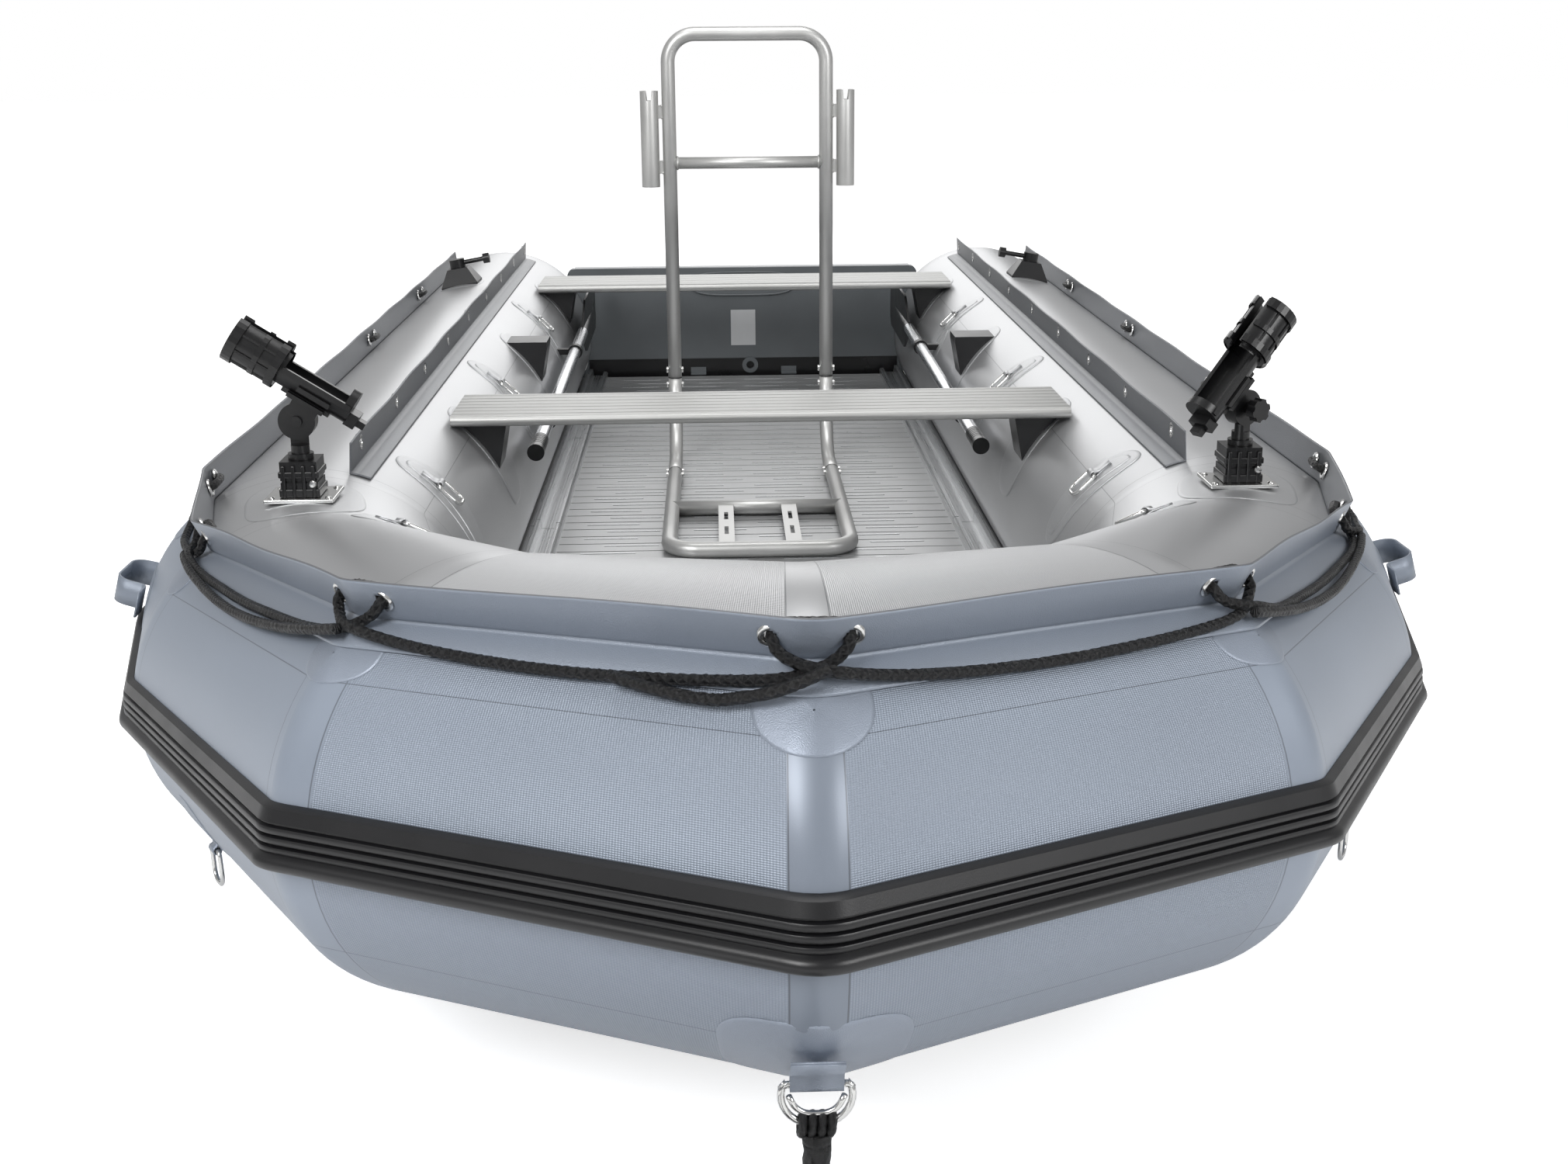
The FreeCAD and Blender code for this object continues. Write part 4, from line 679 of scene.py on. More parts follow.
def rail():
    top, bottom, deep, proud, ribH = [railSpec[key] for key in ("top", "bottom", "deep", "proud", "ribH")]
    skin = [(bottom + (top - bottom) * k / 6, 0.0006) for k in range(7)]
    skin += [(top - 0.0012, 0.006), (top - 0.003, 0.0095), (top - 0.016, 0.0125)]
    for i in range(railSpec["ribs"]):
        h = top - 0.018 - i * ribH
        skin += [(h, deep), (h - 0.0018, deep), (h - 0.0030, proud - 0.0008), (h - 0.0045, proud),
                 (h - ribH + 0.0030, proud), (h - ribH + 0.0012, proud - 0.0008)]
    profile = [(math.sqrt((tubeR + lift) ** 2 - h * h), h) for h, lift in skin]
    for a in range(75, -121, -15):
        out, up = polar(railSpec["beadR"], a)
        profile.append((tubeR + railSpec["beadOut"] + out, bottom + railSpec["beadR"] + up))
    marks = alongHull(-sideAt(coneStartY) + 0.001, sideAt(coneStartY) - 0.001, 0.05)
    rows = [[hullAt(q, out, h) for out, h in profile] for q in marks]
    piece = gridPiece("ribbed_rail", rows, marks, "rubber", caps=True)
    smoothByAngle(piece, 32)
    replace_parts(piece, "rub_rail")


rail()
print("rail")

# Standing skirt and inner flaps with their eyelets

skirtSpec = {"height": 0.050, "thick": 0.0024, "eyeletUp": 0.026, "pairHalf": 0.032, "holeR": 0.0082,
             "pairY": (1.65, 2.35, 3.05)}
flapSpec = {"angle": 106.0, "height": 0.048, "thick": 0.0022, "eyeletUp": 0.030,
            "eyeletY": (1.12, 1.45, 1.78, 2.11, 2.44, 2.77, 3.10, 3.43, 3.72)}
pairHalf = skirtSpec["pairHalf"]
eyeletUp = skirtSpec["eyeletUp"]


def leanAt(q):
    return float(np.interp(abs(q), [0, shoulderS, cheekS, sideS, sideS + 0.5], [68, 67, 66, 76, 84]))


def skirtPoint(q, up, off=0.0):
    base = polar(tubeR + 0.0009, skirtAngle)
    u = polar(1.0, leanAt(q))
    off += 0.0018 * math.sin(q * 17.0 + 0.8) * max(0.0, up) / skirtSpec["height"]
    return hullAt(q, base[0] + u[0] * up + u[1] * off, base[1] + u[1] * up - u[0] * off)


pairMiddles = [0.0]
for sign in (-1, 1):
    pairMiddles += [sign * s for s in (shoulderS, cheekS, sideS)]
    pairMiddles += [sign * sideAt(y) for y in skirtSpec["pairY"]]
pairMiddles.sort()
skirtEyelets = sorted([m - pairHalf for m in pairMiddles] + [m + pairHalf for m in pairMiddles])
flapEyelets = [sideAt(y) for y in flapSpec["eyeletY"]]
washer = [(0.0075, 0.0), (0.0072, 0.0012), (0.0080, 0.0024), (0.0100, 0.0030), (0.0122, 0.0024), (0.0132, 0.0010),
          (0.0135, 0.0)]


def stripGrid(name, start, stop, pointAt, ups, holes, material, holeUp):
    marks = set(alongHull(start, stop, 0.03))
    for hole in holes:
        for k in range(-5, 6):
            marks.add(round(hole + k * 0.0026, 5))
    marks = sorted(m for m in marks if start <= m <= stop)
    rows = [[pointAt(q, up) for up in ups] for q in marks]
    holeCentres = [pointAt(h, holeUp) for h in holes]

    def hollow(r, i):
        if ups[i] < 0:
            return False
        middle = (rows[r][i] + rows[r + 1][i + 1]) / 2
        return any((middle - c).length < skirtSpec["holeR"] for c in holeCentres)

    return gridPiece(name, rows, marks, material, ring=False, skip=hollow), holeCentres


def washers(centre, outward, near, far):
    return [lathe("eyelet", washer, centre + outward * near, outward, "steel", None, 24),
            lathe("eyelet", washer, centre - outward * far, -outward, "steel", None, 24)]


def skirt():
    ups = [-0.040, -0.038, -0.02, -0.008, 0.0] + [skirtSpec["height"] * k / 18 for k in range(1, 19)]

    def pointAt(q, up):
        if up < 0:
            lift = 0.0014 if up > -0.039 else 0.0003
            return onHull(q, skirtAngle + math.degrees(up / tubeR), lift)
        return skirtPoint(q, up)

    stop = sideAt(transomY - 0.04)
    # Painted shade: one face of the skirt takes the darker flap fabric, while its solidified face and edges take the
    # trim fabric
    piece, centres = stripGrid("standing_skirt", -stop, stop, pointAt, ups, skirtEyelets, "flap", eyeletUp)
    thickness = solid(piece, skirtSpec["thick"], -1.0)
    piece.data.materials.append(mats["trim"])
    thickness.material_offset = 1
    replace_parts(piece, "rope_skirt")
    rings = []
    for q, centre in zip(skirtEyelets, centres):
        rings += washers(centre, (skirtPoint(q, eyeletUp, 0.01) - centre).normalized(), 0.0002, 0.0026)
    height = flapSpec["height"]
    base = polar(tubeR + 0.0006, flapSpec["angle"] - 0.5)
    flapUps = [-0.03, -0.028, -0.012] + [height * k / 16 for k in range(17)]
    for sign, label in ((1, "port"), (-1, "starboard")):

        def flapAt(q, up, sign=sign):
            if up < 0:
                degrees = flapSpec["angle"] - math.degrees(up / tubeR)
                return onHull(sign * q, degrees, 0.0012 if up > -0.029 else 0.0003)
            wave = 0.0016 * math.sin(q * 14.0) * up / height
            return hullAt(sign * q, base[0] + wave - 0.06 * up, base[1] + up)

        # The flaps take the darker flap fabric as painted shade
        flap, spots = stripGrid("inner_flap_" + label, sideS + 0.01, stop, flapAt, flapUps, flapEyelets, "flap",
                                flapSpec["eyeletUp"])
        solid(flap, flapSpec["thick"], 1.0 if sign > 0 else -1.0)
        if sign > 0:
            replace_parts(flap, "inner_flaps")
        for spot in spots:
            rings += washers(spot, Vector((-sign, 0, 0.02)).normalized(), 0.0003, 0.0027)
    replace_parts(join("eyelet_rings", rings), "eyelets")


skirt()
print("skirt and flaps")

# Grab rope, threaded through every pair of eyelets and crossed at the bow's corners

ropeSpec = {"radius": 0.0062, "pitch": 0.0125, "around": 12, "depth": 0.13, "step": 0.0035, "spacing": 0.12,
            "sag": 2.5, "reach": 0.05}


def ropeAround(q, degrees=51.0, lift=0.0):
    return onHull(q, degrees, 0.0085 + lift)


def ropePiece(name, points):
    section = braidSection(ropeSpec["radius"], ropeSpec["pitch"], ropeSpec["around"], ropeSpec["depth"])
    return sweep(name, splinePoints(points), section, "rope", step=ropeSpec["step"])


def simplePair(m):
    b = pairHalf
    return [ropeAround(m - b - 0.04, 52), skirtPoint(m - b - 0.005, eyeletUp - 0.004, 0.014),
            skirtPoint(m - b + 0.004, eyeletUp + 0.002, -0.014), skirtPoint(m + b - 0.004, eyeletUp + 0.002, -0.014),
            skirtPoint(m + b + 0.005, eyeletUp - 0.004, 0.014), ropeAround(m + b + 0.04, 52)]


def crossedPair(m):
    b = pairHalf
    return [ropeAround(m - b - 0.055, 50, 0.001), ropeAround(m - 0.012, 52.5, 0.001),
            skirtPoint(m + b - 0.010, 0.011, 0.014), skirtPoint(m + b + 0.001, eyeletUp, 0.007),
            skirtPoint(m + b - 0.004, eyeletUp + 0.003, -0.014), skirtPoint(m, eyeletUp + 0.004, -0.015),
            skirtPoint(m - b + 0.004, eyeletUp + 0.003, -0.014), skirtPoint(m - b - 0.001, eyeletUp, 0.007),
            skirtPoint(m - b + 0.010, 0.012, 0.015), ropeAround(m + 0.010, 52.5, 0.0125),
            ropeAround(m + b + 0.055, 50, 0.001)]


def grabRope():
    stop = sideAt(transomY - 0.12)
    points = [ropeAround(-stop)]
    last = -stop
    for m in pairMiddles + [stop]:
        target = m - pairHalf - ropeSpec["reach"] if m < stop else stop
        count = max(1, round((target - last) / ropeSpec["spacing"]) - 1)
        for k in range(1, count + 1):
            f = k / (count + 1)
            points.append(ropeAround(last + (target - last) * f, 51.0 - ropeSpec["sag"] * math.sin(math.pi * f)))
        if m < stop:
            points += crossedPair(m) if abs(m) < cheekS + 0.01 else simplePair(m)
            last = m + pairHalf + ropeSpec["reach"]
    points.append(ropeAround(stop))
    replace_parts(ropePiece("grab_rope_braid", points), "grab_rope")
    # The rope's way back along the bow, and its tail at the tip
    for sign, label in ((1, "port"), (-1, "starboard")):
        spots = [(shoulderS - 0.004, 52.0, 0.010), (shoulderS + 0.05, 49.5, 0.010)]
        for f in (0.2, 0.4, 0.6, 0.8):
            q = shoulderS + 0.06 + (cheekS - shoulderS - 0.12) * f
            spots.append((q, 49.0 - 4.2 * math.sin(math.pi * f), 0.004))
        spots += [(cheekS - 0.05, 49.5, 0.010), (cheekS + 0.004, 52.0, 0.010)]
        ropePiece("grab_rope_return_" + label, [ropeAround(sign * q, degrees, lift) for q, degrees, lift in spots])
    spots = ((-shoulderS + 0.25, 48.2, 0.009), (-shoulderS + 0.29, 46.4, 0.004), (-shoulderS + 0.33, 45.8, 0.004),
             (-0.06, 46.6, 0.004), (-0.02, 49.0, 0.010), (0.012, 52.5, 0.020))
    ropePiece("grab_rope_tail", [ropeAround(*spot) for spot in spots])


grabRope()
print("grab rope")

# Glued patches: place along the hull, angle, half length, half width, lift, fabric, squareness, skew

tipPatches = [(0.0, -37.0, 0.072, 0.070, 0.0011, "patch", 4.0, 0.0),
              (0.0, 47.0, 0.046, 0.042, 0.0011, "patch", 2.4, 0.0)]
sidePatches = [(s, 48.0, 0.046, 0.034, 0.0009, "patch", 2.4, 0.0) for s in (shoulderS, cheekS, sideS)]
for y in (1.18, 2.085, 2.965):
    sidePatches.append((sideAt(y), 141.0, 0.056, 0.110, 0.0016, "silver", 2.4, 0.02))
    sidePatches.append((sideAt(y), 141.0, 0.028, 0.094, 0.0030, "silver", 2.8, 0.02))
sidePatches += [(sideAt(y), 147.0, 0.086, 0.112, 0.0016, "silver", 2.6, 0.0) for y in (1.656, 2.531, 3.406)]
sidePatches += [
    (cheekS - 0.025, 120.0, 0.055, 0.075, 0.0011, "silver", 2.4, 0.0),
    (shoulderS + 0.72 * (cheekS - shoulderS), -38.0, 0.055, 0.085, 0.0012, "patch", 2.6, 0.0),
    (cheekS + 0.106, 90.0, 0.095, 0.085, 0.0009, "silver", 3.2, 0.0),
    (sideAt(1.06), 16.0, 0.125, 0.050, 0.0011, "patch", 3.0, 0.0),
    (sideAt(2.13), 157.0, 0.055, 0.060, 0.0011, "silver", 2.6, 0.0),
    (sideAt(2.93), 157.0, 0.055, 0.060, 0.0011, "silver", 2.6, 0.0),
    (sideAt(3.2), 80.0, 0.085, 0.055, 0.0009, "silver", 3.0, 0.0),
]


def patch(q, degrees, halfLong, halfWide, lift, material, power, skew):
    rows = []
    marks = []
    for f, height in ((0.02, lift), (0.35, lift), (0.65, lift), (0.85, lift), (0.95, lift), (1.0, lift * 0.85),
                      (1.012, 0.0)):
        row = []
        for i in range(56):
            a = 2 * math.pi * i / 56
            c, s = math.cos(a), math.sin(a)
            x = math.copysign(abs(c) ** (2 / power), c) * f
            y = math.copysign(abs(s) ** (2 / power), s) * f
            turn = math.degrees(y * halfWide / tubeR)
            row.append(onHull(q + x * halfLong + skew * y, degrees + turn, height + 0.0002))
        rows.append(row)
        marks.append(f * 0.1)
    return gridPiece("patch", rows, marks, material)


def patches():
    made = [patch(*row) for row in tipPatches]
    for sign in (-1, 1):
        made += [patch(sign * row[0], *row[1:]) for row in sidePatches]
    join("glued_patches", made)


patches()
print("patches")

# Steel rings in fabric loops

ringSpec = {"wire": 0.003, "width": 0.044, "length": 0.046, "loopR": 0.0054, "loopWide": 0.026, "loopThick": 0.0016}


def ringPath(pivot, axis, hang, width, topWidth, length, wire):
    half = width / 2
    top = topWidth / 2
    corners = [pivot + axis * top, pivot + axis * half + hang * length, pivot - axis * half + hang * length,
               pivot - axis * top]
    end = min(half, length) * 0.72
    return roundedPath(corners, [2 * wire, end, end, 2 * wire], 0.22, True)


def smallRings():
    loops = []
    wire = ringSpec["wire"]
    for joint in frame["joints"]:
        name = joint["name"]
        if "ring" not in name or name == "bow_ring_swing":
            continue
        body = joint["child"]
        axis = Vector(joint["axis"]).normalized()
        pivot = Vector(joint["pos_m"])
        low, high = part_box(body)
        hang = (Vector(low) + Vector(high)) / 2 - pivot
        hang = (hang - axis * hang.dot(axis)).normalized()
        path = ringPath(pivot, axis, hang, ringSpec["width"], ringSpec["width"], ringSpec["length"], wire)
        ring = sweep("steel_" + body, path, roundSection(wire, 14), "steel", body, True)
        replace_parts(ring, body)
        facing = axis.cross(hang).normalized()
        if facing.dot(pivot - Vector((0.0, pivot.y, sideZ))) < 0 and "side" in name:
            facing = -facing
        if facing.z < 0 and "side" not in name:
            facing = -facing
        strap = [pivot - hang * 0.034 - facing * 0.0058, pivot - hang * 0.012 - facing * 0.0045]
        for a in (-90, -45, 0, 45, 90, 135, 180):
            ahead, over = polar(ringSpec["loopR"], a)
            strap.append(pivot + hang * ahead + facing * over)
        strap += [pivot - hang * 0.012 - facing * 0.0022, pivot - hang * 0.034 - facing * 0.0042]
        section = flatSection(ringSpec["loopWide"], ringSpec["loopThick"])
        loops.append(sweep("loop", strap, section, "patch" if "side" in name else "silver", None, width=axis))
    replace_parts(join("ring_loops", loops), "ring_chapes")


smallRings()

bowRingSpec = {"wire": 0.0035, "width": 0.104, "topWidth": 0.062, "drop": 0.042, "loopR": 0.0062, "loopWide": 0.050,
               "strandR": 0.0047, "turnR": 0.0086}


def bowRing():
    pivot = Vector(jointNamed("bow_ring_swing")["pos_m"])
    axis = Vector((1, 0, 0))
    hang = Vector((0, 0, -1))
    wire = bowRingSpec["wire"]
    path = ringPath(pivot, axis, hang, bowRingSpec["width"], bowRingSpec["topWidth"], bowRingSpec["drop"], wire)
    ring = sweep("bow_ring_bent", path, roundSection(wire, 16), "steel", "bow_ring", True)
    corners = ((-0.026, -0.012), (-0.018, -0.031), (0.018, -0.031), (0.026, -0.012))
    inner = [pivot + Vector((x, 0, z)) for x, z in corners]
    bend = roundedPath(inner, [0, 0.02, 0.02, 0], 0.2)
    sweep("bow_ring_inner", bend, roundSection(0.003, 14), "steel", "bow_ring")
    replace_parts(ring, "bow_ring")
    normal = hullFrame(0.0, -42.0)[1]
    normal = Vector((0, normal.y, normal.z)).normalized()
    down = Vector((0, normal.z, -normal.y))
    if down.z > 0:
        down = -down
    strap = [pivot - down * 0.052 - normal * 0.0074, pivot - down * 0.016 - normal * 0.0066]
    for a in (-90, -45, 0, 45, 90, 135):
        ahead, over = polar(bowRingSpec["loopR"], a)
        strap.append(pivot + down * ahead + normal * over)
    strap += [pivot - down * 0.020 - normal * 0.004, pivot - down * 0.052 - normal * 0.0052]
    sweep("bow_ring_loop", strap, flatSection(bowRingSpec["loopWide"], 0.002), "patch", width=axis)
    # Four turns of the line round the ring, and the neck below them
    bottom = pivot + hang * bowRingSpec["drop"]
    strands = []
    for x in (-0.0135, -0.0045, 0.0045, 0.0135):
        circle = []
        for k in range(20):
            t = 2 * math.pi * k / 20
            turn = Vector((0, math.cos(t), math.sin(t))) * bowRingSpec["turnR"]
            circle.append(bottom + Vector((x + 0.0012 * math.sin(t), 0, 0)) + turn)
        section = braidSection(bowRingSpec["strandR"], 0.009, 12, 0.12)
        strands.append(sweep("strand", circle, section, "line", None, True))
    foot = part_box("bow_line_hitch")[0][2]
    neck = bottom.z - 0.011 - foot
    outline = [(0.0, neck + 0.004), (0.012, neck + 0.002), (0.0140, neck * 0.5), (0.0138, 0.001), (0.006, 0.0),
               (0.0, 0.0)]
    strands.append(lathe("strand", outline, Vector((0, bottom.y, foot)), Vector((0, 0, 1)), "line", None))
    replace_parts(join("bow_hitch", strands, "bow_ring"), "bow_line_hitch")


bowRing()
print("rings")

# Carry handles

handleSpec = {"y": 1.06, "angle": 16.0, "half": 0.095, "foot": 0.040, "rise": 0.050, "lift": 0.0022, "wide": 0.040,
              "thick": 0.003}


def handles():
    made = []
    half, foot, lift, rise = [handleSpec[key] for key in ("half", "foot", "lift", "rise")]
    for sign in (-1, 1):
        at, normal, along, roundWay = hullFrame(sign * sideAt(handleSpec["y"]), handleSpec["angle"])
        corners = [(-half, lift), (-half + foot, lift), (-half + foot + 0.004, rise), (half - foot - 0.004, rise),
                   (half - foot, lift), (half, lift)]
        path = roundedPath([at + along * a + normal * b for a, b in corners], [0, 0.010, 0.024, 0.024, 0.010, 0], 0.2)
        section = flatSection(handleSpec["wide"], handleSpec["thick"])
        made.append(sweep("strap", path, section, "trim", None, width=roundWay))
    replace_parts(join("webbing_handles", made), "carry_handles")


handles()

# Rod holders: the trim on the cradle's tube, the clamp on the mount, its plate and screws

cradleSpec = {"axisUp": 0.057, "boreR": 0.0285, "gap": 22.0, "ribAt": 0.0315,
              "bands": ((0.054, 0.066, 0.0355), (0.084, 0.092, 0.0335), (0.118, 0.1325, 0.0350)),
              "ribs": (60, 105, 150, 210, 255, 300)}
mountSpec = {"clampHalf": 0.0285, "clampZ": ((0.0065, 0.018), (0.034, 0.043)), "ribX": (-0.021, -0.007, 0.007, 0.021),
             "plate": (0.049, 0.041, 0.0006, 0.0060), "screwX": 0.040, "screwY": 0.030}


def rodHolder(side, turnBy, rise):
    pivot = Vector(jointNamed("rod_cradle_%s_tilt" % side)["pos_m"])
    foot = Vector(jointNamed("rod_swivel_%s_turn" % side)["pos_m"])
    up = Vector((0, 0, 1))
    flat = Vector((*polar(1.0, turnBy), 0))
    run, climb = polar(1.0, rise)
    way = flat * run + up * climb
    across = up.cross(flat)
    high = way.cross(across)
    axisAt = pivot + high * cradleSpec["axisUp"]

    def local(x, y, z):
        return axisAt + way * x + across * y + high * z

    def slab(x0, x1, y0, y1, z0, z1, soft=0.0012):
        piece = block("slab", (0, 0, 0), (1, 1, 1), "plastic", None, soft)
        for vertex in piece.data.vertices:
            x, y, z = vertex.co
            vertex.co = local(x0 + (x1 - x0) * x, y0 + (y1 - y0) * y, z0 + (z1 - z0) * z)
        return piece

    def openBand(x0, x1, radius):
        gap = cradleSpec["gap"]
        turns = [math.radians(gap + (360.0 - 2 * gap) * k / 24) for k in range(25)]
        ring = [(math.sin(a) * radius, math.cos(a) * radius) for a in turns]
        ring += [(math.sin(a) * cradleSpec["boreR"], math.cos(a) * cradleSpec["boreR"]) for a in reversed(turns)]
        rows = [[local(x, y, z) for y, z in ring] for x in (x0, x1)]
        return gridPiece("band", rows, [x0, x1], "plastic", None, smooth=False)

    made = [openBand(*row) for row in cradleSpec["bands"]]
    for degrees in cradleSpec["ribs"]:
        z, y = polar(cradleSpec["ribAt"], degrees)
        made.append(slab(0.060, 0.128, y - 0.0016, y + 0.0016, z - 0.0016, z + 0.0016, 0.0005))
    for y in (-0.0255, 0.0255):
        made.append(slab(-0.056, 0.050, y - 0.0022, y + 0.0022, -0.002, 0.0062))
        made.append(slab(-0.030, 0.020, y - 0.0030, y + 0.0030, -0.014, -0.007))
    made.append(slab(-0.072, -0.056, -0.017, 0.017, -0.024, -0.004, 0.003))
    made.append(slab(-0.084, -0.070, -0.009, 0.009, -0.020, -0.010, 0.003))
    made.append(slab(-0.026, 0.030, -0.019, 0.019, -0.0300, -0.0235, 0.002))
    join("cradle_trim_" + side, made, "rod_cradle_" + side)
    half = mountSpec["clampHalf"]
    parts = []
    for z0, z1 in mountSpec["clampZ"]:
        low, high = foot + Vector((-half, -half, z0)), foot + Vector((half, half, z1))
        parts.append(block("clamp", low, high, "plastic", None, 0.002))
    for x in mountSpec["ribX"]:
        parts.append(block("rib", foot + Vector((x - 0.0028, -0.0295, 0.006)),
                           foot + Vector((x + 0.0028, -0.0265, 0.052)), "plastic", None, 0.001))
    join("mount_trim_" + side, parts)
    x, y, low, top = mountSpec["plate"]
    plate = block("mount_plate_" + side, foot + Vector((-x, -y, low)), foot + Vector((x, y, top)), "steel", "hull",
                  0.0012)
    head = [(0.0, 0.0022), (0.003, 0.0020), (0.0046, 0.0006), (0.0046, -0.0006)]
    screws = []
    for x in (-mountSpec["screwX"], mountSpec["screwX"]):
        for y in (-mountSpec["screwY"], mountSpec["screwY"]):
            screws.append(lathe("screw", head, foot + Vector((x, y, 0.0064)), up, "steel", None, 16))
    screws.append(lathe("screw", [(0.0, 0.0050), (0.004, 0.0046), (0.0052, 0.0030), (0.0052, 0.0)],
                        foot + Vector((0.0200, -0.0290, 0.026)), Vector((0, -1, 0)), "steel", None, 16))
    join("mount_screws_" + side, screws)


rodHolder("starboard", 180.0, 33.0)
rodHolder("port", 30.0, 45.0)
print("rod holders")

# Grab frame

frameSpec = {"half": 0.182, "y": 2.665, "tube": 0.016, "top": 1.127, "split": 0.335, "barZ": 0.839, "barR": 0.0136,
             "bend": 0.062, "holderZ": 0.785, "holderL": 0.217, "notchL": 0.195, "holderR": 0.021,
             "tabZ": (0.815, 0.940), "legY": 2.440, "legBend": 0.12, "frontY": 1.782, "backY": 2.112,
             "footBend": 0.06, "footZ": 0.1513, "plateX": 0.067, "plateHalf": 0.016, "slotHalf": 0.0042}


def grabFrame():
    w = frameSpec["half"]
    y = frameSpec["y"] - midY
    tube = frameSpec["tube"]
    split = frameSpec["split"]
    barZ = frameSpec["barZ"]
    up = Vector((0, 0, 1))
    bar = [Vector((x, y, z)) for x, z in ((-w, split), (-w, frameSpec["top"]), (w, frameSpec["top"]), (w, split))]
    bend = frameSpec["bend"]

    def tubing(corners, radii, turn=0.12):
        return sweep("bar", roundedPath(corners, radii, turn), roundSection(tube, 28), "satin", None)

    pieces = [tubing(bar, [0, bend, bend, 0])]
    pieces.append(sweep("bar", [Vector((-w, y, barZ)), Vector((w, y, barZ))], roundSection(frameSpec["barR"], 24),
                        "satin", None))
    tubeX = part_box("grab_hoop")[1][0] - frameSpec["holderR"]
    weld = [(0.0, -0.004), (0.003, -0.003), (0.0042, 0.0), (0.003, 0.003), (0.0, 0.004)]
    for sign in (-1, 1):
        at = Vector((sign * tubeX, y, frameSpec["holderZ"]))
        rows = []
        marks = []
        for k in range(49):
            a = 2 * math.pi * k / 48
            way = Vector((math.cos(a), math.sin(a), 0))
            height = frameSpec["notchL"] if abs(way.x) < 0.30 else frameSpec["holderL"]
            rows.append([at + way * r + Vector((0, 0, h)) for r, h in
                         ((0.0185, 0.0), (0.0208, 0.0), (0.021, 0.001), (0.021, height - 0.001),
                          (0.0208, height), (0.0187, height), (0.0185, height - 0.001))])
            marks.append(a * 0.02)
        holder = gridPiece("holder", rows, marks, "satin", None)
        smoothByAngle(holder)
        pieces.append(holder)
        for z in frameSpec["tabZ"]:
            ends = sorted((sign * (w + 0.010), sign * (tubeX - 0.0195)))
            pieces.append(block("tab", (ends[0], y - 0.002, z), (ends[1], y + 0.002, z + 0.030), "satin", None))
            for edge in (z + 0.002, z + 0.028):
                pieces.append(lathe("bead", weld, Vector((sign * (w + 0.0152), y, edge)), up, "satin", None, 12))
        pieces.append(lathe("bead", [(0.0142, 0.0), (0.0165, 0.0015), (0.0158, 0.0035), (0.0136, 0.005)],
                            Vector((sign * (w - 0.0155), y, barZ)), Vector((-sign, 0, 0)), "satin", None, 24))
    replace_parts(join("bent_hoop", pieces), "grab_hoop")
    footZ = frameSpec["footZ"]
    legY = frameSpec["legY"] - midY
    ring = [(0.0162, -0.0012), (0.0168, -0.0006), (0.0168, 0.0006), (0.0162, 0.0012)]
    legs = []
    for sign in (-1, 1):
        leg = [Vector((sign * w, y, split)), Vector((sign * w, y, footZ)), Vector((sign * w, legY, footZ))]
        legs.append(tubing(leg, [0, frameSpec["legBend"], 0], 0.1))
        for at, way in ((leg[0], up), (leg[2], Vector((0, 1, 0)))):
            legs.append(lathe("seam", ring, at, way, "plastic", None, 28))
    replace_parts(join("bent_legs", legs), "grab_frame_legs")
    front = frameSpec["frontY"] - midY
    back = frameSpec["backY"] - midY
    bend = frameSpec["footBend"]
    foot = [Vector((x, at, footZ)) for x, at in ((-w, legY), (-w, front), (w, front), (w, legY))]
    parts = [tubing(foot, [0, bend, bend, 0]), tubing([Vector((-w, back, footZ)), Vector((w, back, footZ))], [0, 0])]
    # Two flat plates, each with two slots along it
    wide = frameSpec["plateHalf"]
    slot = frameSpec["slotHalf"]
    top = footZ + 0.010
    ends = [front + 0.008]
    for f in (0.33, 0.68):
        ends += [front + (back - front) * f - 0.030, front + (back - front) * f + 0.030]
    ends.append(back - 0.008)
    bars = [(-wide, -slot, ends[0], ends[-1]), (slot, wide, ends[0], ends[-1])]
    bars += [(-slot, slot, a, b) for a, b in zip(ends[0::2], ends[1::2])]
    for sign in (-1, 1):
        x = sign * frameSpec["plateX"]
        for x0, x1, y0, y1 in bars:
            parts.append(block("plate", (x + x0, y0, top - 0.004), (x + x1, y1, top), "satin", None))
    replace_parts(join("foot_frame", parts), "grab_frame_foot")


grabFrame()
dress("grab_frame_bolts", "steel")
print("grab frame")

# Floor, benches, transom and oars keep their solids

nodeMaterials = {"floor": ("floor_boards",), "stringer": ("floor_stringers",), "bench": ("bench_fore", "bench_aft"),
                 "board": ("transom", "motor_pads", "transom_fittings"),
                 "rubber": ("bench_brackets", "oarlock_bases"),
                 "under": ("air_keel", "bottom_skin"),
                 "plastic": ("transom_strip", "oar_clips", "drain_plug", "air_valves", "oarlock_port",
                             "oarlock_starboard", "rod_mounts")}
boardSpec = {"capHalf": 0.502, "capH": 0.004, "labelHalf": 0.037, "labelZ": (0.22, 0.327), "padHalf": 0.155,
             "padZ": 0.406, "padRise": 0.034}
floorSpec = {"left": -0.36, "rows": 0.0555, "every": 0.18, "long": 0.11, "wide": 0.0035, "shift": 0.045,
             "proud": 0.0012}


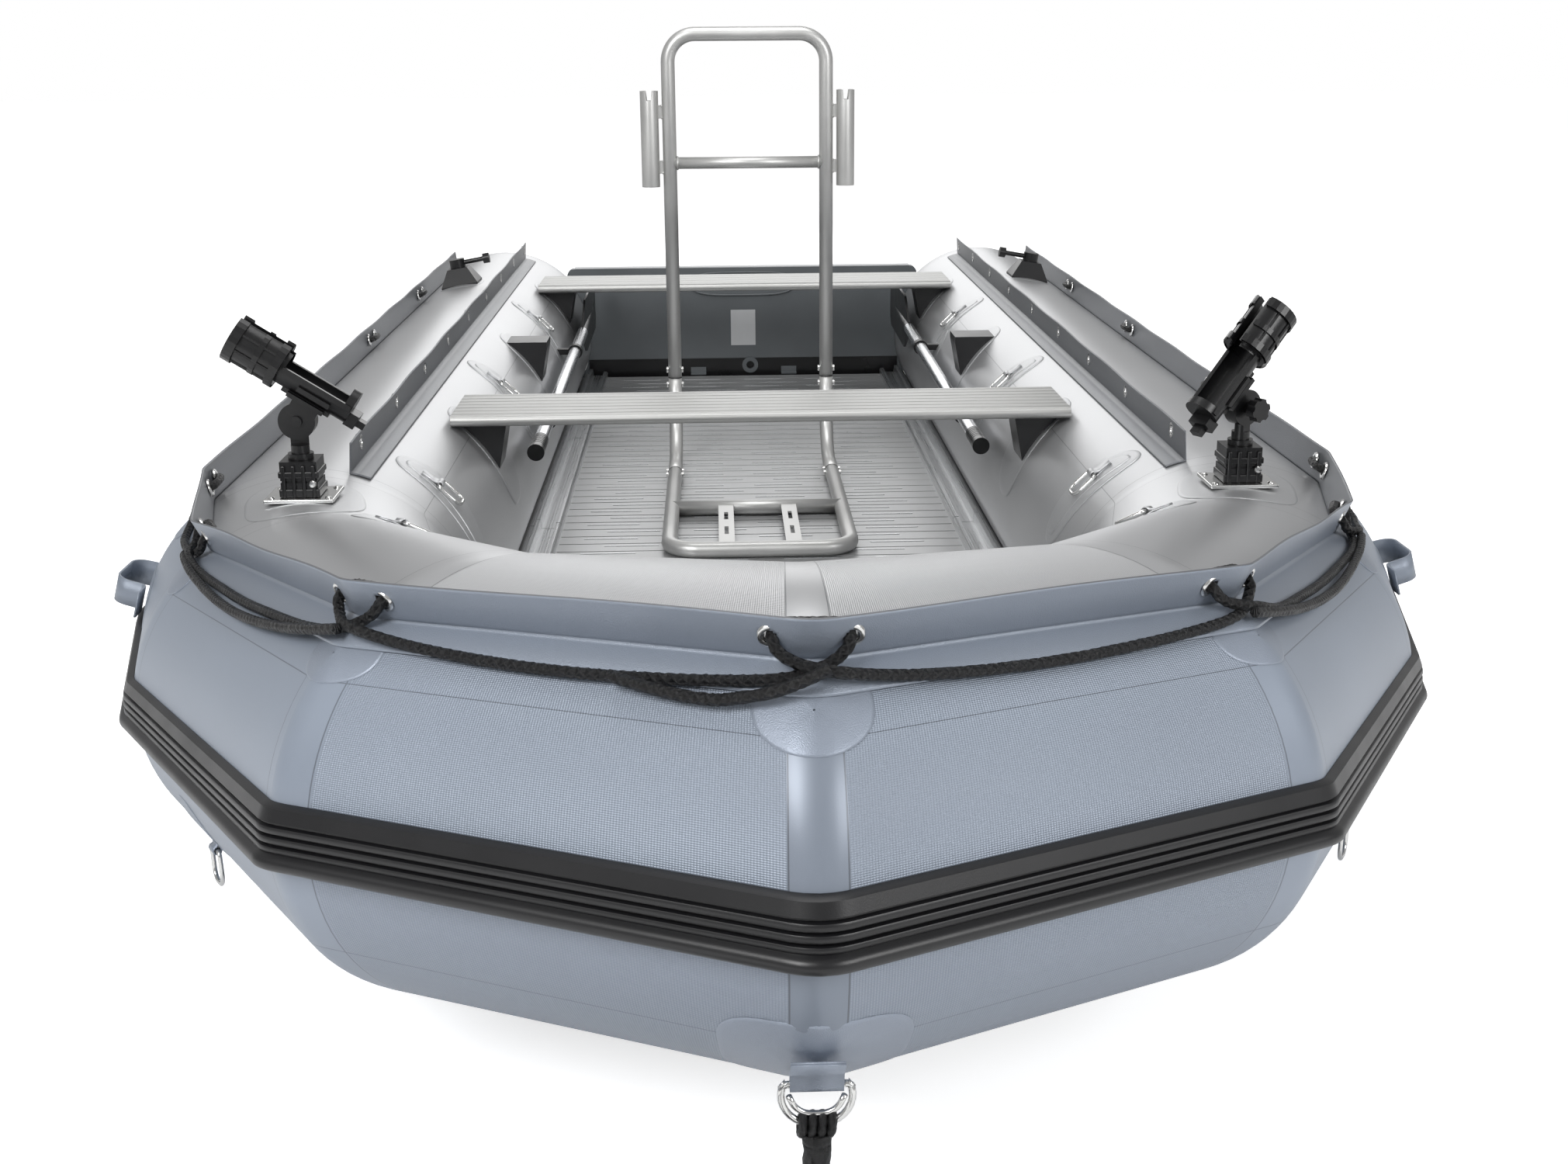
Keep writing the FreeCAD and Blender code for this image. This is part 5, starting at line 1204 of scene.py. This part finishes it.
def inboard():
    for material, nodes in nodeMaterials.items():
        for node in nodes:
            dress(node, material)
    for side in ("port", "starboard"):
        dress("oar_%s_grip" % side, "plastic")
        dress("oar_%s_shaft" % side, "oar")
        dress("oar_%s_blade" % side, "plastic")
        for part in ("swivel", "cradle", "knob"):
            dress("rod_%s_%s" % (part, side), "plastic")
    low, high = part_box("transom")
    half = boardSpec["capHalf"]
    top = high[2]
    block("transom_cap", (-half, low[1] + 0.001, top), (half, high[1] - 0.001, top + boardSpec["capH"]), "edge",
          bevel=0.0015)
    half = boardSpec["labelHalf"]
    front = low[1] - 0.0006
    bottom, top = boardSpec["labelZ"]
    plate = block("label_plate", (-half, front, bottom), (half, front + 0.001, top), "edge", bevel=0.0003)
    pad = []
    for k in range(40):
        c, s = polar(1.0, 360.0 * k / 40)
        x = math.copysign(abs(c) ** 0.5, c) * boardSpec["padHalf"]
        z = math.copysign(abs(s) ** 0.8, s) * boardSpec["padRise"]
        pad.append(Vector((x, low[1] - 0.003, boardSpec["padZ"] + z)))
    sweep("pad_bead", pad, roundSection(0.003, 12), "board", closed=True)


inboard()


def floorLines():
    made = []
    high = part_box("floor_boards")[1]
    y = sideStartY - midY + 0.03
    row = 0
    while y < high[1] - 0.02:
        for k in range(4):
            x0 = floorSpec["left"] + k * floorSpec["every"] + (floorSpec["shift"] if row % 2 else 0.0)
            corner = (x0 + floorSpec["long"], y + floorSpec["wide"], high[2] + floorSpec["proud"])
            made.append(block("rib", (x0, y, high[2] - 0.0008), corner, "stringer", None))
        y += floorSpec["rows"]
        row += 1
    join("floor_ribs", made)


floorLines()
print("inboard pieces")

# Ground, backdrop and light

studioSpec = {"size": 30.0, "floor": 0.9, "glow": 0.66, "seen": 0.60, "world": 0.40}
lamps = (
    ("key", (-2.6, -4.6, 3.6), (0, -1.2, 0.3), 2.2, 170.0),
    ("fill", (3.4, -4.2, 2.4), (0.2, -1.2, 0.3), 2.0, 90.0),
    ("top", (0.0, -0.2, 4.4), (0, 0.2, 0.2), 2.6, 70.0),
    ("rear", (0.0, 6.4, 2.6), (0, 0.0, 0.3), 3.4, 62.0),
)


def studio():
    size = studioSpec["size"]
    points = [Vector((-size, -size, 0)), Vector((size, -size, 0)), Vector((size, size, 0)), Vector((-size, size, 0))]
    material = newMaterial("studio floor", [studioSpec["floor"]] * 3, 0.8)
    tree = material.node_tree
    path = tree.nodes.new("ShaderNodeLightPath")
    seen = calc(tree, "MULTIPLY", path.outputs["Is Camera Ray"], studioSpec["glow"])
    glow = addNode(tree, "Emission", Strength=seen)
    blend = tree.nodes.new("ShaderNodeAddShader")
    tree.links.new(tree.nodes["Principled BSDF"].outputs[0], blend.inputs[0])
    tree.links.new(glow.outputs[0], blend.inputs[1])
    tree.links.new(blend.outputs[0], tree.nodes["Material Output"].inputs["Surface"])
    mats["studio"] = material
    ground = meshPiece("studio_floor", points, [(0, 1, 2, 3)], None, "studio", None, False)
    world = bpy.data.worlds.new("studio")
    world.use_nodes = True
    bpy.context.scene.world = world
    tree = world.node_tree
    back = tree.nodes["Background"]
    path = tree.nodes.new("ShaderNodeLightPath")
    put(tree, back.inputs["Color"], (1, 1, 1, 1))
    direct = calc(tree, "MAXIMUM", path.outputs["Is Camera Ray"], path.outputs["Is Transmission Ray"])
    level = calc(tree, "MULTIPLY_ADD", direct, studioSpec["seen"], studioSpec["world"])
    put(tree, back.inputs["Strength"], level)
    for name, place, target, width, power in lamps:
        data = bpy.data.lights.new(name, "AREA")
        data.size = width
        data.energy = power
        lamp = bpy.data.objects.new(name, data)
        lamp.visible_camera = False
        lamp.location = place
        lamp.rotation_euler = (Vector(target) - Vector(place)).to_track_quat("-Z", "Y").to_euler()
        bpy.context.scene.collection.objects.link(lamp)
    bpy.context.scene.view_settings.view_transform = "Standard"


studio()
print("studio")
